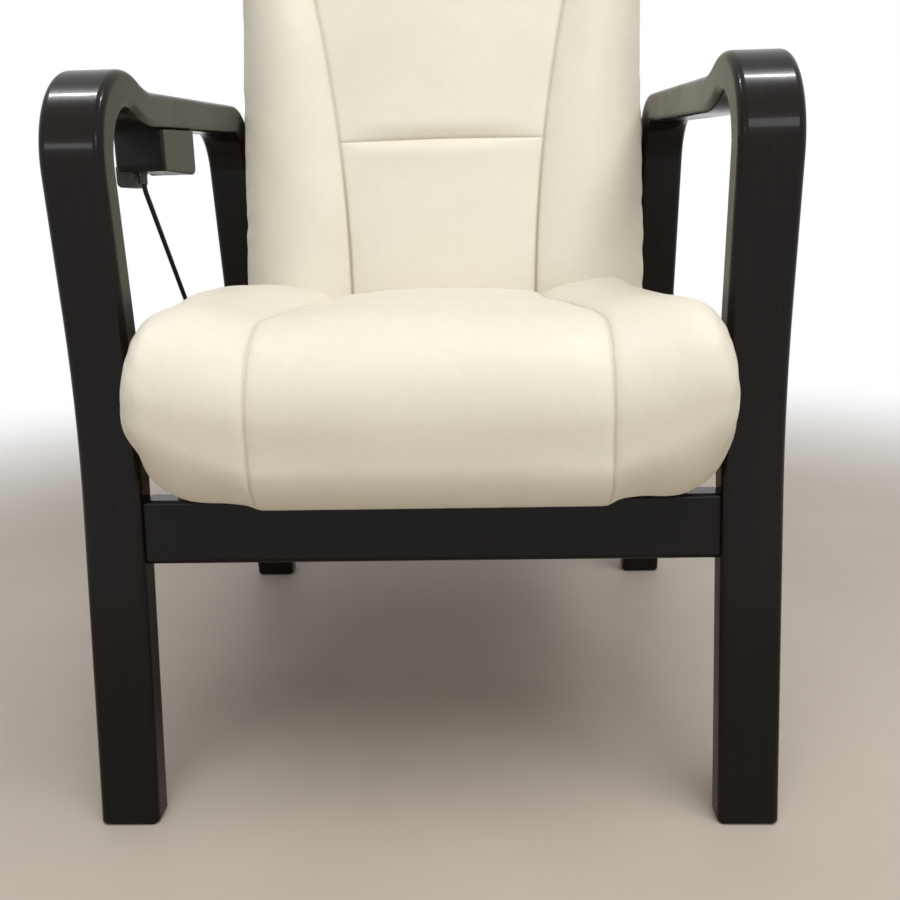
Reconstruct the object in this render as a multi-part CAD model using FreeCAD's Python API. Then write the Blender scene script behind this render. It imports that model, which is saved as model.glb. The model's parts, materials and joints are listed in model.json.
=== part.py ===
import FreeCAD, Part
import math
import os

os.makedirs("parts", exist_ok=True)
V = FreeCAD.Vector

# Millimetres. X to the viewer's right, Y to the rear, Z up. While building, Y = 0 is the front of
# the front feet; everything is centred on the whole chair just before it is written.

# Bent wooden side loops
WIDTH = 560.0        # over both side loops
STRIP = 49.0         # width of a loop's strip
PLY = 30.0           # thickness of a loop's strip
EDGE = 6.5           # rounding of the strip's long edges
FOOT_SPAN = 598.0    # front of the front feet to front of the rear feet
ARM_TOP = 607.5      # top of the arm's front hump
LEG_LEAN = 6.6       # degrees the lower front leg runs back as it rises
LEG_TIP = 5.3        # degrees the upper front leg runs forward again
KNEE_Z = 341.0       # height of the front leg's gentle bend
KNEE_R = 770.0
HUMP_R = 60.0
DIP_R = 130.0
DIP_ANGLE = 18.6
ARM_RISE = 3.45      # degrees the arm rises to the rear
REAR_R = 62.0
REAR_RAKE = 10.3     # degrees the rear leg runs back as it falls
GLIDE = 3.0          # height of a foot glide
GLIDE_INSET = 3.0

# Rails, bearers and seat board
RAIL_BOTTOM = 218.0
RAIL_H = 52.0
RAIL_T = 20.0
RAIL_SET = 7.0       # the front rail sits this far behind the legs' front faces
RAIL_EDGE = 4.0
DOWEL_R = 5.0
DOWEL_IN = 24.0
DOWEL_GAP = 28.0
BEARER_W = 25.0
BEARER_H = 32.0
BEARER_GAP = 16.0    # bearer to side loop
BOARD_T = 10.0
BOARD_OVER = 7.0     # the board stops this far inside the bearers' outer faces
BOARD_ROUND = 15.0   # rounding of the board's corners
BOARD_BACK = 4.0     # the board stops this far ahead of the cushion's rear
VENT_R = 12.0        # air holes in the board
VENT_X = 90.0        # air holes from the middle
VENT_PITCH = 120.0   # air holes from the board's rear and from each other
BOLT_R = 3.0
BOLT_HEAD = 4.0      # height of a bolt's head
BOLT_INSET = 60.0    # seat bolts from the board's front and rear

# Seat cushion
SEAT_ROOM = 8.5      # cushion to side loop
SEAT_FRONT = 45.0    # front of the cushion ahead of the front feet
SEAT_LIFT = 6.0      # cushion above the rails
SEAT_H = 141.0       # cushion height beside the seams
SEAT_CROWN = 3.5     # swell of the middle panel
SEAT_BOLSTER = 13.0  # swell of the side panels
SEAT_FALL = 10.5     # the top falls this much to the rear
SEAT_SEAM = 126.0    # seam from the middle
SEAM_DEEP = 4.0
SEAM_HALF = 9.0
SEAT_SIDE = 22.0     # width over which the top edge is drawn in
SEAT_TUCK = 56.0     # width over which the lower edge is drawn in
SEAT_PULL = 40.0     # how far the sides are drawn in
SEAT_GAP = 1.5       # seat cushion to back cushion

# Back
LEAN = 13.1          # degrees, upright position
BACK_AHEAD = 210.4   # front plane of the back ahead of the rear feet, at BACK_FOOT_Z
BACK_RISE = 30.0     # BACK_FOOT_Z above the rails
BACK_ROOM = 3.5      # cushion to side loop
BACK_LEN = 720.0     # from the pivot's level to the top, along the back
BACK_LOW = 30.0      # lower end of the cushion above the pivot
BACK_DEEP = 84.0     # rear face behind the front plane
LOBE_SIDE = 14.0     # side bolsters swell this far ahead of the front plane
LOBE_MID = 9.0
LOBE_HEAD = 20.0
BACK_SEAM_LOW = 103.0    # seam from the middle at the lower end
BACK_SEAM_HIGH = 165.0   # seam from the middle at the head
WAIST_SEAM = 280.0   # heights of the two cross seams along the back
HEAD_SEAM = 545.0
CROSS_HALF = 12.0    # half the width of a cross seam's channel
BACK_CAP = 75.0      # height over which the top is rounded
BACK_FOOT = 30.0     # height over which the lower end is rounded
POCKET_T = 54.0      # front of the pocket that holds the back's frame
POCKET_EDGE = 19.5   # cushion left at each side of the pocket
POCKET_LOW = 42.0
POCKET_TOP = 26.0
POCKET_ROUND = 45.0  # rounding of the pocket's upper corners
PANEL_FIT = 0.5
PANEL_T = 8.0
UPRIGHT_W = 20.0
UPRIGHT_T = 22.0
WEB_T = 2.0
WEB_H = 46.0
CROSS_H = 30.0

# Recline pivot, crank and gas spring
PIVOT_T = 45.0       # pivot behind the front plane
PIVOT_R = 6.0
RUN = 0.05           # radial running clearance of a turning pin
ARM_T = 5.0
PLATE_T = 4.0
PLATE_PITCH = 26.0   # hinge plate's bolts from the pivot, along the bearer
PLATE_RISE = 15.0    # hinge plate's bolts above the bearer's underside
WASHER_T = 2.0
SIDE_RUN = 0.2       # side clearance of a turning plate
BOSS_R = 14.0
TUBE_R = 12.5
TUBE_WALL = 2.5
TUBE_PLUG = 30.0
CRANK = 60.0         # pivot to crank pin
RECLINE = 30.0       # degrees of travel
LUG_T = 5.0
LUG_R = 11.0
EYE_W = 16.0
PIN_R = 5.0
CYL_R = 14.0
ROD_R = 5.0
GLAND_GAP = 1.3      # radial gap of the rod in the gland
ANCHOR_Y = 88.0
HEAD_W = 28.0
HEAD_WALL = 4.0
HEAD_H = 24.0
ROD_SHOW = 49.0      # bare rod between head and gland
ROD_IN = 60.0        # rod left in the cylinder at full recline

# Release lever, paddle, housing and cable
LEVER_ARM = 62.0     # cable pull arm of the release lever and of the paddle
LEVER_T = 6.0
LEVER_H = 10.0
SQUEEZE = 6.0        # degrees of paddle travel
CABLE_R = 2.25
WIRE_R = 0.8
WIRE_BORE = 1.1
CABLE_BEND = 70.0
CABLE_TOP_BEND = 25.0
CABLE_RUN = 42.0     # degrees from the vertical of the cable's free run
CABLE_DROP = 7.177   # cable below the bearer where it crosses under it
HOUSE_FRONT = 174.0
HOUSE_LEN = 97.0
HOUSE_DROP = 35.0    # housing below the arm at its front end
HOUSE_OUT = 4.0      # housing inside the arm's outer face
HOUSE_IN = 0.5       # housing inside the arm's inner face
SCREW_FRONT = 16.0   # housing screws from the housing's front and rear
SCREW_REAR = 14.0
SCREW_IN = 14.0      # housing screws up into the arm
WIRE_SET = 18.5      # cable from the housing's outer face
PADDLE_W = 16.0
PADDLE_LEN = 35.0
PADDLE_H = 18.0
PADDLE_DROP = 13.0   # paddle below the housing
CLIP_W = 12.0
CLIP_T = 3.0
CLIP_FOOT = 16.0     # length of the hanger's foot under the board
HANG_BACK = 90.0     # hanger from the board's rear

INNER = WIDTH / 2 - STRIP
SEAT_HALF = INNER - SEAT_ROOM
BACK_HALF = INNER - BACK_ROOM
RAIL_TOP = RAIL_BOTTOM + RAIL_H
BACK_FOOT_Y = FOOT_SPAN - BACK_AHEAD
BACK_FOOT_Z = RAIL_TOP + BACK_RISE
nodes = {}


def rad(a):
    return math.radians(a)


def box(x0, x1, y0, y1, z0, z1):
    return Part.makeBox(x1 - x0, y1 - y0, z1 - z0, V(x0, y0, z0))


def rod_x(x0, x1, y, z, r):
    return Part.makeCylinder(r, x1 - x0, V(x0, y, z), V(1, 0, 0))


def rod_y(y0, y1, x, z, r):
    return Part.makeCylinder(r, y1 - y0, V(x, y0, z), V(0, 1, 0))


def rod_z(z0, z1, x, y, r):
    return Part.makeCylinder(r, z1 - z0, V(x, y, z0), V(0, 0, 1))


def group(shapes):
    return Part.makeCompound(shapes)


def soften(shape, radius, pick):
    return shape.makeFillet(radius, [e for e in shape.Edges if pick(e)])


def mirror_x(shape):
    return shape.mirror(V(0, 0, 0), V(1, 0, 0))


def both(shape):
    return [shape, mirror_x(shape)]


def along(edge, axis):
    """True when a straight edge runs along the axis 'x', 'y' or 'z'."""
    if len(edge.Vertexes) != 2:
        return False
    d = edge.Vertexes[1].Point.sub(edge.Vertexes[0].Point)
    k = "xyz".index(axis)
    rest = [abs(d[i]) for i in range(3) if i != k]
    return abs(d[k]) > 1e-6 and max(rest) < 1e-6


def prism_x(points, x0, x1):
    """Polygon of (y, z) points stretched from x0 to x1."""
    ring = [V(x0, y, z) for y, z in points]
    return Part.Face(Part.makePolygon(ring + ring[:1])).extrude(V(x1 - x0, 0, 0))


def hull_x(c0, r0, c1, r1, x0, x1):
    """Plate around two circles in the YZ plane, with straight tangent sides."""
    dy = c1[0] - c0[0]
    dz = c1[1] - c0[1]
    gap = math.hypot(dy, dz)
    turn = math.atan2(dz, dy)
    spread = math.acos((r0 - r1) / gap)

    def at(c, r, a):
        return V(x0, c[0] + r * math.cos(a), c[1] + r * math.sin(a))

    a = turn + spread
    b = turn - spread
    edges = [
        Part.LineSegment(at(c0, r0, a), at(c1, r1, a)).toShape(),
        Part.Arc(at(c1, r1, a), at(c1, r1, turn), at(c1, r1, b)).toShape(),
        Part.LineSegment(at(c1, r1, b), at(c0, r0, b)).toShape(),
        Part.Arc(at(c0, r0, b), at(c0, r0, turn + math.pi), at(c0, r0, a)).toShape(),
    ]
    return Part.Face(Part.Wire(edges)).extrude(V(x1 - x0, 0, 0))


def rounded(points, radii):
    """Closed wire through 3-D corner points, each corner rounded by a tangent arc."""
    n = len(points)
    ends = []
    for i in range(n):
        p = points[i]
        a = points[i - 1].sub(p).normalize()
        b = points[(i + 1) % n].sub(p).normalize()
        half = a.getAngle(b) / 2
        cut = radii[i] / math.tan(half)
        mid = a.add(b).normalize()
        reach = radii[i] / math.sin(half) - radii[i]
        ends.append((p.add(V(a).multiply(cut)), p.add(mid.multiply(reach)), p.add(V(b).multiply(cut))))
    edges = []
    for i in range(n):
        edges.append(Part.Arc(*ends[i]).toShape())
        edges.append(Part.LineSegment(ends[i][2], ends[(i + 1) % n][0]).toShape())
    return Part.Wire(edges)


# Side loops: a path of straight runs and bends in the YZ plane
def run(state, length):
    y, z, h = state
    return (y + length * math.cos(h), z + length * math.sin(h), h)


def bend(state, radius, turn):
    y, z, h = state
    side = 1.0 if turn > 0 else -1.0
    cy = y - side * radius * math.sin(h)
    cz = z + side * radius * math.cos(h)
    return (cy + side * radius * math.sin(h + turn), cz - side * radius * math.cos(h + turn), h + turn)


def shifted(state, d):
    y, z, h = state
    return V(0, y - d * math.sin(h), z + d * math.cos(h))


BELOW = 30.0         # the path starts and ends below the floor and is cut level afterwards
knee_turn = rad(LEG_LEAN + LEG_TIP)
knee_low = KNEE_Z - KNEE_R * knee_turn / 2
start = (PLY / 2 / math.cos(rad(LEG_LEAN)), 0.0, rad(90 - LEG_LEAN))
start = run(start, -BELOW)
steps = [("run", knee_low / math.cos(rad(LEG_LEAN)) + BELOW), ("bend", KNEE_R, knee_turn)]
spot = bend(run(start, steps[0][1]), KNEE_R, knee_turn)
hump_low = ARM_TOP - PLY / 2 - HUMP_R * (1 - math.cos(spot[2]))
steps.append(("run", (hump_low - spot[1]) / math.sin(spot[2])))
spot = run(spot, steps[-1][1])
steps.append(("bend", HUMP_R, -rad(90 + LEG_TIP + DIP_ANGLE)))
spot = bend(spot, *steps[-1][1:])
hump_end = spot
steps.append(("bend", DIP_R, rad(DIP_ANGLE + ARM_RISE)))
spot = bend(spot, *steps[-1][1:])
dip_end = spot
rear_turn = -rad(90 - REAR_RAKE + ARM_RISE)
jump = bend((0.0, 0.0, spot[2]), REAR_R, rear_turn)
down = (math.cos(jump[2]), math.sin(jump[2]))
goal = (FOOT_SPAN + PLY / 2 / math.cos(rad(REAR_RAKE)) - spot[0] - jump[0], -spot[1] - jump[1])
ahead = (math.cos(spot[2]), math.sin(spot[2]))
det = ahead[0] * down[1] - ahead[1] * down[0]
arm_run = (goal[0] * down[1] - goal[1] * down[0]) / det
leg_run = (ahead[0] * goal[1] - ahead[1] * goal[0]) / det
steps += [("run", arm_run), ("bend", REAR_R, rear_turn), ("run", leg_run + BELOW)]


def loop_edges(d):
    edges = []
    here = start
    for kind, *size in steps:
        if kind == "run":
            there = run(here, size[0])
            edges.append(Part.LineSegment(shifted(here, d), shifted(there, d)).toShape())
        else:
            there = bend(here, *size)
            half = bend(here, size[0], size[1] / 2)
            edges.append(Part.Arc(shifted(here, d), shifted(half, d), shifted(there, d)).toShape())
        here = there
    return edges, here


def arm_under(y):
    """Height of the straight arm's underside."""
    p = shifted(dip_end, -PLY / 2)
    return p.z + (y - p.y) * math.tan(rad(ARM_RISE))


def front_leg_y(z):
    """Front face of the lower front leg."""
    return z * math.tan(rad(LEG_LEAN))


def rear_leg_y(z):
    """Front face of the rear leg."""
    return FOOT_SPAN - z * math.tan(rad(REAR_RAKE))


upper, last = loop_edges(PLY / 2)
lower, last = loop_edges(-PLY / 2)
caps = [
    Part.LineSegment(shifted(start, PLY / 2), shifted(start, -PLY / 2)).toShape(),
    Part.LineSegment(shifted(last, PLY / 2), shifted(last, -PLY / 2)).toShape(),
]
ring = Part.Wire(Part.__sortEdges__(upper + lower + caps))
loop = Part.Face(ring).extrude(V(STRIP, 0, 0))
loop = soften(loop, EDGE, lambda e: not along(e, "x") and max(v.Z for v in e.Vertexes) > GLIDE)
loop = loop.cut(box(-EDGE, STRIP + EDGE, -FOOT_SPAN, 2 * FOOT_SPAN, -3 * BELOW, GLIDE))
loop.translate(V(INNER, 0, 0))

# Front and rear rails with their dowels
rail_mid = RAIL_BOTTOM + RAIL_H / 2
front_rear_y = front_leg_y(RAIL_TOP) + RAIL_SET + RAIL_T + 2.0
rear_front_y = rear_leg_y(rail_mid) + (PLY - RAIL_T) / 2
front_rail = prism_x(
    [
        (front_leg_y(RAIL_BOTTOM) + RAIL_SET, RAIL_BOTTOM),
        (front_leg_y(RAIL_TOP) + RAIL_SET, RAIL_TOP),
        (front_rear_y, RAIL_TOP),
        (front_rear_y, RAIL_BOTTOM),
    ],
    -INNER,
    INNER,
)
front_rail = soften(front_rail, RAIL_EDGE, lambda e: along(e, "x") and e.Vertexes[0].Y < front_rear_y - 1)
rear_rail = box(-INNER, INNER, rear_front_y, rear_front_y + RAIL_T, RAIL_BOTTOM, RAIL_TOP)
rear_rail = soften(rear_rail, RAIL_EDGE, lambda e: along(e, "x"))
dowels = []
for y in (front_leg_y(rail_mid) + RAIL_SET + RAIL_T / 2, rear_front_y + RAIL_T / 2):
    for z in (rail_mid - DOWEL_GAP / 2, rail_mid + DOWEL_GAP / 2):
        dowels += both(rod_x(INNER - DOWEL_IN, INNER + DOWEL_IN, y, z, DOWEL_R))
all_dowels = group(dowels)
loop = loop.cut(all_dowels)
front_rail = front_rail.cut(all_dowels)
rear_rail = rear_rail.cut(all_dowels)
nodes["rear_rail"] = rear_rail
nodes["rail_dowels"] = all_dowels

glides = []
for y, slant in ((0.0, LEG_LEAN), (FOOT_SPAN, -REAR_RAKE)):
    y0 = y + GLIDE * math.tan(rad(slant)) + GLIDE_INSET
    pad = box(INNER + GLIDE_INSET, INNER + STRIP - GLIDE_INSET, y0, y0 + PLY - 2 * GLIDE_INSET, 0, GLIDE)
    glides += both(soften(pad, 2.5, lambda e: along(e, "z")))
nodes["foot_glides"] = group(glides)

# Back geometry: local (x, t, s), t to the rear from the front plane and s up along the back
tilt_sin = math.sin(rad(LEAN))
tilt_cos = math.cos(rad(LEAN))


def in_back(shape):
    shape = shape.copy()
    shape.rotate(V(0, 0, 0), V(1, 0, 0), -LEAN)
    shape.translate(V(0, BACK_FOOT_Y, BACK_FOOT_Z))
    return shape


def back_point(t, s):
    return (BACK_FOOT_Y + s * tilt_sin + t * tilt_cos, BACK_FOOT_Z + s * tilt_cos - t * tilt_sin)


pivot = back_point(PIVOT_T, 0.0)

# Seat bearers and board
bearer_out = INNER - BEARER_GAP
bearer_in = bearer_out - BEARER_W
bearer_mid = (bearer_in + bearer_out) / 2
bearer_low = RAIL_TOP - BEARER_H
bearer = box(bearer_in, bearer_out, front_rear_y, rear_front_y, bearer_low, RAIL_TOP)
board_top = RAIL_TOP + BOARD_T
seat_low = RAIL_TOP + SEAT_LIFT
seat_rear_t = -LOBE_SIDE - SEAT_GAP


def seat_rear_y(z):
    """Rear plane of the seat cushion, parallel to the back."""
    y, z0 = back_point(seat_rear_t, 0.0)
    return y + (z - z0) * math.tan(rad(LEAN))


board_front = front_leg_y(RAIL_TOP) + RAIL_SET + RAIL_EDGE
board_rear = seat_rear_y(RAIL_TOP) - BOARD_BACK
board_half = bearer_out - BOARD_OVER
board = box(-board_half, board_half, board_front, board_rear, RAIL_TOP, board_top)
board = soften(board, BOARD_ROUND, lambda e: along(e, "z"))
board_block = board
seat_bolts = []
for y in (board_front + BOLT_INSET, board_rear - BOLT_INSET):
    shank = rod_z(bearer_low - BOLT_HEAD, board_top - BOARD_T / 5, bearer_mid, y, BOLT_R)
    head = rod_z(bearer_low - BOLT_HEAD, bearer_low, bearer_mid, y, 2 * BOLT_R)
    seat_bolts += both(shank.fuse(head))
nodes["seat_bolts"] = group(seat_bolts)
board = board.cut(nodes["seat_bolts"])
bearer = bearer.cut(nodes["seat_bolts"])
vents = []
for row in (1, 2):
    vents += both(rod_z(RAIL_TOP, board_top, VENT_X, board_rear - row * VENT_PITCH, VENT_R))
nodes["seat_board"] = board.cut(group(vents))


def side_pull(x, half, wide):
    """0 inside, rising as a quarter of an ellipse to 1 at the cushion's side."""
    u = max(0.0, (abs(x) - (half - wide)) / wide)
    return 1 - math.sqrt(max(0.0, 1 - u * u))


def channel(d, half):
    """1 on a seam, falling to 0 at its edges."""
    return max(0.0, 1 - abs(d) / half) ** 2


def seat_section(x):
    half = SEAT_HALF
    pull = side_pull(x, half, SEAT_SIDE)
    tuck = side_pull(x, half, SEAT_TUCK)
    seam = SEAM_DEEP * channel(abs(x) - SEAT_SEAM, SEAM_HALF)
    over = min(1.0, max(0.0, (abs(x) - SEAT_SEAM) / (half - SEAT_SIDE - SEAT_SEAM)))
    if over > 0:
        swell = SEAT_BOLSTER * math.sin(math.pi / 2 * over)
    else:
        swell = SEAT_CROWN * (1 - (x / SEAT_SEAM) ** 2) ** 0.7
    top = seat_low + SEAT_H + swell - seam - SEAT_PULL * pull
    low = seat_low + 4 * over + 1.5 * SEAT_PULL * tuck
    front = -SEAT_FRONT - 0.3 * swell + seam + 0.5 * SEAT_PULL * pull
    rear = SEAT_GAP + 8 * pull
    tall = top - low
    return rounded(
        [
            V(x, seat_rear_y(low) - rear, low),
            V(x, front, low),
            V(x, front, top),
            V(x, seat_rear_y(top - SEAT_FALL) - rear, top - SEAT_FALL),
        ],
        [0.10 * tall, (0.28 + 0.14 * over) * tall, 0.46 * tall, 0.14 * tall],
    )


def spread_x(half, wide, seam, gap):
    """Where the cushion's sections stand, closer together at the seams and the sides."""
    xs = [0.0, 0.35 * seam, 0.65 * seam, 0.85 * seam]
    xs += [seam + k * gap for k in (-1.0, -0.6, -0.25, 0.0, 0.25, 0.6, 1.0)]
    flat = half - wide
    xs += [(seam + gap + flat) / 2] if flat > seam + gap + 2 else []
    first = max(flat, seam + gap + 3)
    xs += [first - (first - xs[-1]) * k for k in (0.66, 0.33)]
    xs += [half - (half - first) * (1 - u) for u in (0.0, 0.3, 0.55, 0.74, 0.87, 0.95, 0.99)]
    return [-x for x in reversed(xs) if x > 0] + xs


def loft(sections):
    return Part.makeLoft(sections, True, True)


seat = loft([seat_section(x) for x in spread_x(SEAT_HALF, SEAT_SIDE, SEAT_SEAM, SEAM_HALF)])
nodes["seat_cushion"] = seat.cut(board_block)


# Back cushion: sections across the back, stacked along it
def back_section(s):
    low = max(0.0, 1 - (s - BACK_LOW) / BACK_FOOT)
    high = max(0.0, 1 - (BACK_LEN - s) / BACK_CAP)
    end = 1 - math.sqrt(max(0.0, 1 - min(1.0, low) ** 2 * 0.96))
    cap = 1 - math.sqrt(max(0.0, 1 - min(1.0, high) ** 2 * 0.97))
    w = BACK_HALF - 14 * end - 62 * cap
    part = min(1.0, max(0.0, (s - 2 * BACK_LOW) / (HEAD_SEAM - 2 * BACK_LOW)))
    seam_x = (BACK_SEAM_LOW + (BACK_SEAM_HIGH - BACK_SEAM_LOW) * part**2) * w / BACK_HALF
    cross = max(channel(s - WAIST_SEAM, CROSS_HALF), channel(s - HEAD_SEAM, CROSS_HALF))
    head = max(0.0, min(1.0, (s - HEAD_SEAM) / CROSS_HALF))
    mid = (LOBE_MID + (LOBE_HEAD - LOBE_MID) * head) * (1 - 0.95 * cross)
    draw = 18 * end + 40 * cap
    front = -LOBE_SIDE + draw
    groove = 3.0 + draw
    centre = groove - (mid + 3.0) * (1 - 0.8 * cap)
    side = 16.0 + 0.8 * draw
    rear = BACK_DEEP - 4 * end - 10 * cap
    soft = 12.0
    belly = seam_x + 0.42 * (w - seam_x)

    def p(x, t):
        return V(x, t, s)

    def line(a, b):
        return Part.LineSegment(a, b).toShape()

    k = soft * (1 - math.sqrt(0.5))
    edges = [
        line(p(-w + soft, rear), p(w - soft, rear)),
        Part.Arc(p(w - soft, rear), p(w - k, rear - k), p(w, rear - soft)).toShape(),
        line(p(w, rear - soft), p(w, side)),
        Part.Arc(p(w, side), p(belly, front), p(seam_x, groove)).toShape(),
        Part.Arc(p(seam_x, groove), p(0, centre), p(-seam_x, groove)).toShape(),
        Part.Arc(p(-seam_x, groove), p(-belly, front), p(-w, side)).toShape(),
        line(p(-w, side), p(-w, rear - soft)),
        Part.Arc(p(-w, rear - soft), p(-w + k, rear - k), p(-w + soft, rear)).toShape(),
    ]
    return Part.Wire(edges)


def across_seam(seam):
    return [seam + k * CROSS_HALF for k in (-1.0, -0.6, -0.25, 0.0, 0.25, 0.6, 1.0)]


def between(low, high, count):
    """Heights that split the stretch from low to high evenly, ends left out."""
    return [low + (high - low) * (i + 1) / (count + 1) for i in range(count)]


heights = [BACK_LOW + k * BACK_FOOT for k in (0.0, 0.1, 0.27, 0.53, 1.0)]
heights += between(heights[-1], WAIST_SEAM - CROSS_HALF, 2)
heights += across_seam(WAIST_SEAM)
heights += between(heights[-1], HEAD_SEAM - CROSS_HALF, 2)
heights += across_seam(HEAD_SEAM)
heights += between(heights[-1], BACK_LEN - BACK_CAP, 1)
heights += [BACK_LEN - BACK_CAP * (1 - u) for u in (0.05, 0.3, 0.5, 0.66, 0.8, 0.9, 0.96, 0.99, 1.0)]
back = loft([back_section(s) for s in heights])
pocket_half = BACK_HALF - POCKET_EDGE
pocket_high = BACK_LEN - POCKET_TOP


def pocket_block(fit, t0, t1):
    """Block with round upper corners that fits the pocket with the given gap."""
    half = pocket_half - fit
    block = box(-half, half, t0, t1, POCKET_LOW + fit, pocket_high - fit)
    top = pocket_high - fit - 1
    return soften(block, POCKET_ROUND - fit, lambda e: along(e, "y") and e.Vertexes[0].Z > top)


back = back.cut(pocket_block(0.0, POCKET_T, BACK_DEEP + 50))

# Hinge stack at each side, from the outside in: plate, washer, arm, tube
plate_out = bearer_in
plate_in = plate_out - PLATE_T
arm_out = plate_in - WASHER_T
arm_in = arm_out - ARM_T
up_in = arm_out
up_out = up_in + UPRIGHT_W
web_t = POCKET_T
up_t0 = web_t + WEB_T
up_t1 = up_t0 + UPRIGHT_T

up_low = POCKET_LOW + 2
up_high = pocket_high - POCKET_ROUND
upright = box(up_in, up_out, up_t0, up_t1, up_low, up_high)
up_mid = (up_t0 + up_t1) / 2
arm_top = (up_mid, 2.2 * up_low)
arm_plate = hull_x((PIVOT_T, 0), BOSS_R, arm_top, UPRIGHT_T / 2, arm_in, arm_out)
notch = hull_x((PIVOT_T, 0), BOSS_R + 1, arm_top, UPRIGHT_T / 2 + 1, arm_in - 1, arm_out + 1)
nodes["back_cushion"] = in_back(back.cut(group(both(notch))))
arm_plate = arm_plate.fuse(box(arm_in, arm_out, up_t0, up_t1, 1.9 * up_low, 3.6 * up_low)).removeSplitter()
arm_plate = arm_plate.cut(rod_x(arm_in, arm_out, PIVOT_T, 0, PIVOT_R + RUN))
arm_bolts = []
for s in (2.3 * up_low, 3.2 * up_low):
    t = (up_t0 + up_t1) / 2
    bolt = rod_x(arm_in - BOLT_HEAD, up_out - BOLT_R, t, s, BOLT_R)
    arm_bolts += both(bolt.fuse(rod_x(arm_in - BOLT_HEAD, arm_in, t, s, 2 * BOLT_R)))
arm_bolt_group = group(arm_bolts)
upright = upright.cut(arm_bolt_group)
arm_plate = arm_plate.cut(arm_bolt_group)
rails = []
for s, half in ((up_low + 4, arm_in), ((up_low + up_high) / 2, up_in), (up_high - CROSS_H, up_in)):
    rails.append(box(-half, half, up_t0, up_t1, s, s + CROSS_H))
straps = []
count = 8
pitch = (up_high - up_low - 50) / count
for i in range(count):
    s = up_low + 50 + pitch * (i + 0.5) - WEB_H / 2
    straps.append(box(-up_out, up_out, web_t, up_t0, s, s + WEB_H))
panel = pocket_block(PANEL_FIT, up_t1, up_t1 + PANEL_T)
panel = soften(panel, 3.0, lambda e: e.Vertexes[0].Y > up_t1 + 1 and e.Vertexes[1].Y > up_t1 + 1)
panel_screws = []
for s in (up_low + 30, (up_low + up_high) / 2 - 60, up_high - 20):
    t = up_t1 + PANEL_T
    screw = rod_y(t - 20, t, (up_in + up_out) / 2 + 4, s, 1.8)
    cap = Part.makeCone(1.8, 4.0, 2.5, V((up_in + up_out) / 2 + 4, t - 2.5, s), V(0, 1, 0))
    panel_screws += both(screw.fuse(cap))
screw_group = group(panel_screws)
panel = panel.cut(screw_group)
upright = upright.cut(screw_group)
nodes["back_upright_left"] = in_back(upright)
nodes["back_upright_right"] = in_back(mirror_x(upright))
nodes["back_rails"] = in_back(group(rails))
nodes["back_webbing"] = in_back(group(straps))
nodes["back_panel"] = in_back(panel)
nodes["panel_screws"] = in_back(screw_group)
nodes["hinge_arm_left"] = in_back(arm_plate)
nodes["hinge_arm_right"] = in_back(mirror_x(arm_plate))
nodes["hinge_arm_bolts"] = in_back(arm_bolt_group)

# Torsion tube on the pivot's axis, with the crank lugs and pin
py, pz = pivot
tube = rod_x(-arm_in, arm_in, py, pz, TUBE_R)
tube = tube.cut(rod_x(-arm_in + TUBE_PLUG, arm_in - TUBE_PLUG, py, pz, TUBE_R - TUBE_WALL))
tube = tube.cut(rod_x(-arm_in, arm_in, py, pz, PIVOT_R + RUN))
swing = rad(RECLINE / 2)
pin_y = py + CRANK * math.sin(swing)
pin_z = pz - CRANK * math.cos(swing)
spring_z = pz - CRANK * (1 + math.cos(swing)) / 2
lug_in = EYE_W / 2 + 1.0
lug = hull_x((py, pz), TUBE_R + 6, (pin_y, pin_z), LUG_R, lug_in, lug_in + LUG_T)
lug = lug.cut(rod_x(lug_in, lug_in + LUG_T, py, pz, TUBE_R))
lug = lug.cut(rod_x(lug_in, lug_in + LUG_T, pin_y, pin_z, PIN_R))
crank_pin = rod_x(-lug_in - LUG_T - 3, lug_in + LUG_T + 3, pin_y, pin_z, PIN_R)
for x in (-lug_in - LUG_T - 3, lug_in + LUG_T):
    crank_pin = crank_pin.fuse(rod_x(x, x + 3, pin_y, pin_z, PIN_R + 2.5))
nodes["torsion_tube"] = tube
nodes["crank_lugs"] = group(both(lug))
nodes["crank_pin"] = crank_pin.removeSplitter()

# Frame side of the hinge
plate = hull_x((py, pz), BOSS_R, (py, bearer_low + 16), 16.0, plate_in, plate_out)
foot = box(plate_in, plate_out, py - 38, py + 38, bearer_low + 2, bearer_low + 28)
plate = plate.fuse(foot).removeSplitter()
pins = []
washers = []
plate_bolts = []
shaft = rod_x(arm_in - 22, plate_out, py, pz, PIVOT_R)
pins += both(shaft.fuse(rod_x(plate_out, plate_out + 5, py, pz, PIVOT_R + 4)).removeSplitter())
ring = rod_x(arm_out + SIDE_RUN, plate_in, py, pz, PIVOT_R + 5)
washers += both(ring.cut(rod_x(arm_out, plate_in, py, pz, PIVOT_R)))
bolt_z = bearer_low + PLATE_RISE
for y in (py - PLATE_PITCH, py + PLATE_PITCH):
    bolt = rod_x(plate_in - BOLT_HEAD, bearer_out, y, bolt_z, BOLT_R)
    bolt = bolt.fuse(rod_x(plate_in - BOLT_HEAD, plate_in, y, bolt_z, 2 * BOLT_R))
    nut = rod_x(bearer_out, bearer_out + BOLT_HEAD + 1, y, bolt_z, 2 * BOLT_R)
    plate_bolts += both(bolt.fuse(nut))
plate = plate.cut(group(pins + plate_bolts))
bearer = bearer.cut(group(plate_bolts))
nodes["hinge_plate_left"] = plate
nodes["hinge_plate_right"] = mirror_x(plate)
nodes["pivot_pins"] = group(pins)
nodes["pivot_washers"] = group(washers)
nodes["hinge_plate_bolts"] = group(plate_bolts)

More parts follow.
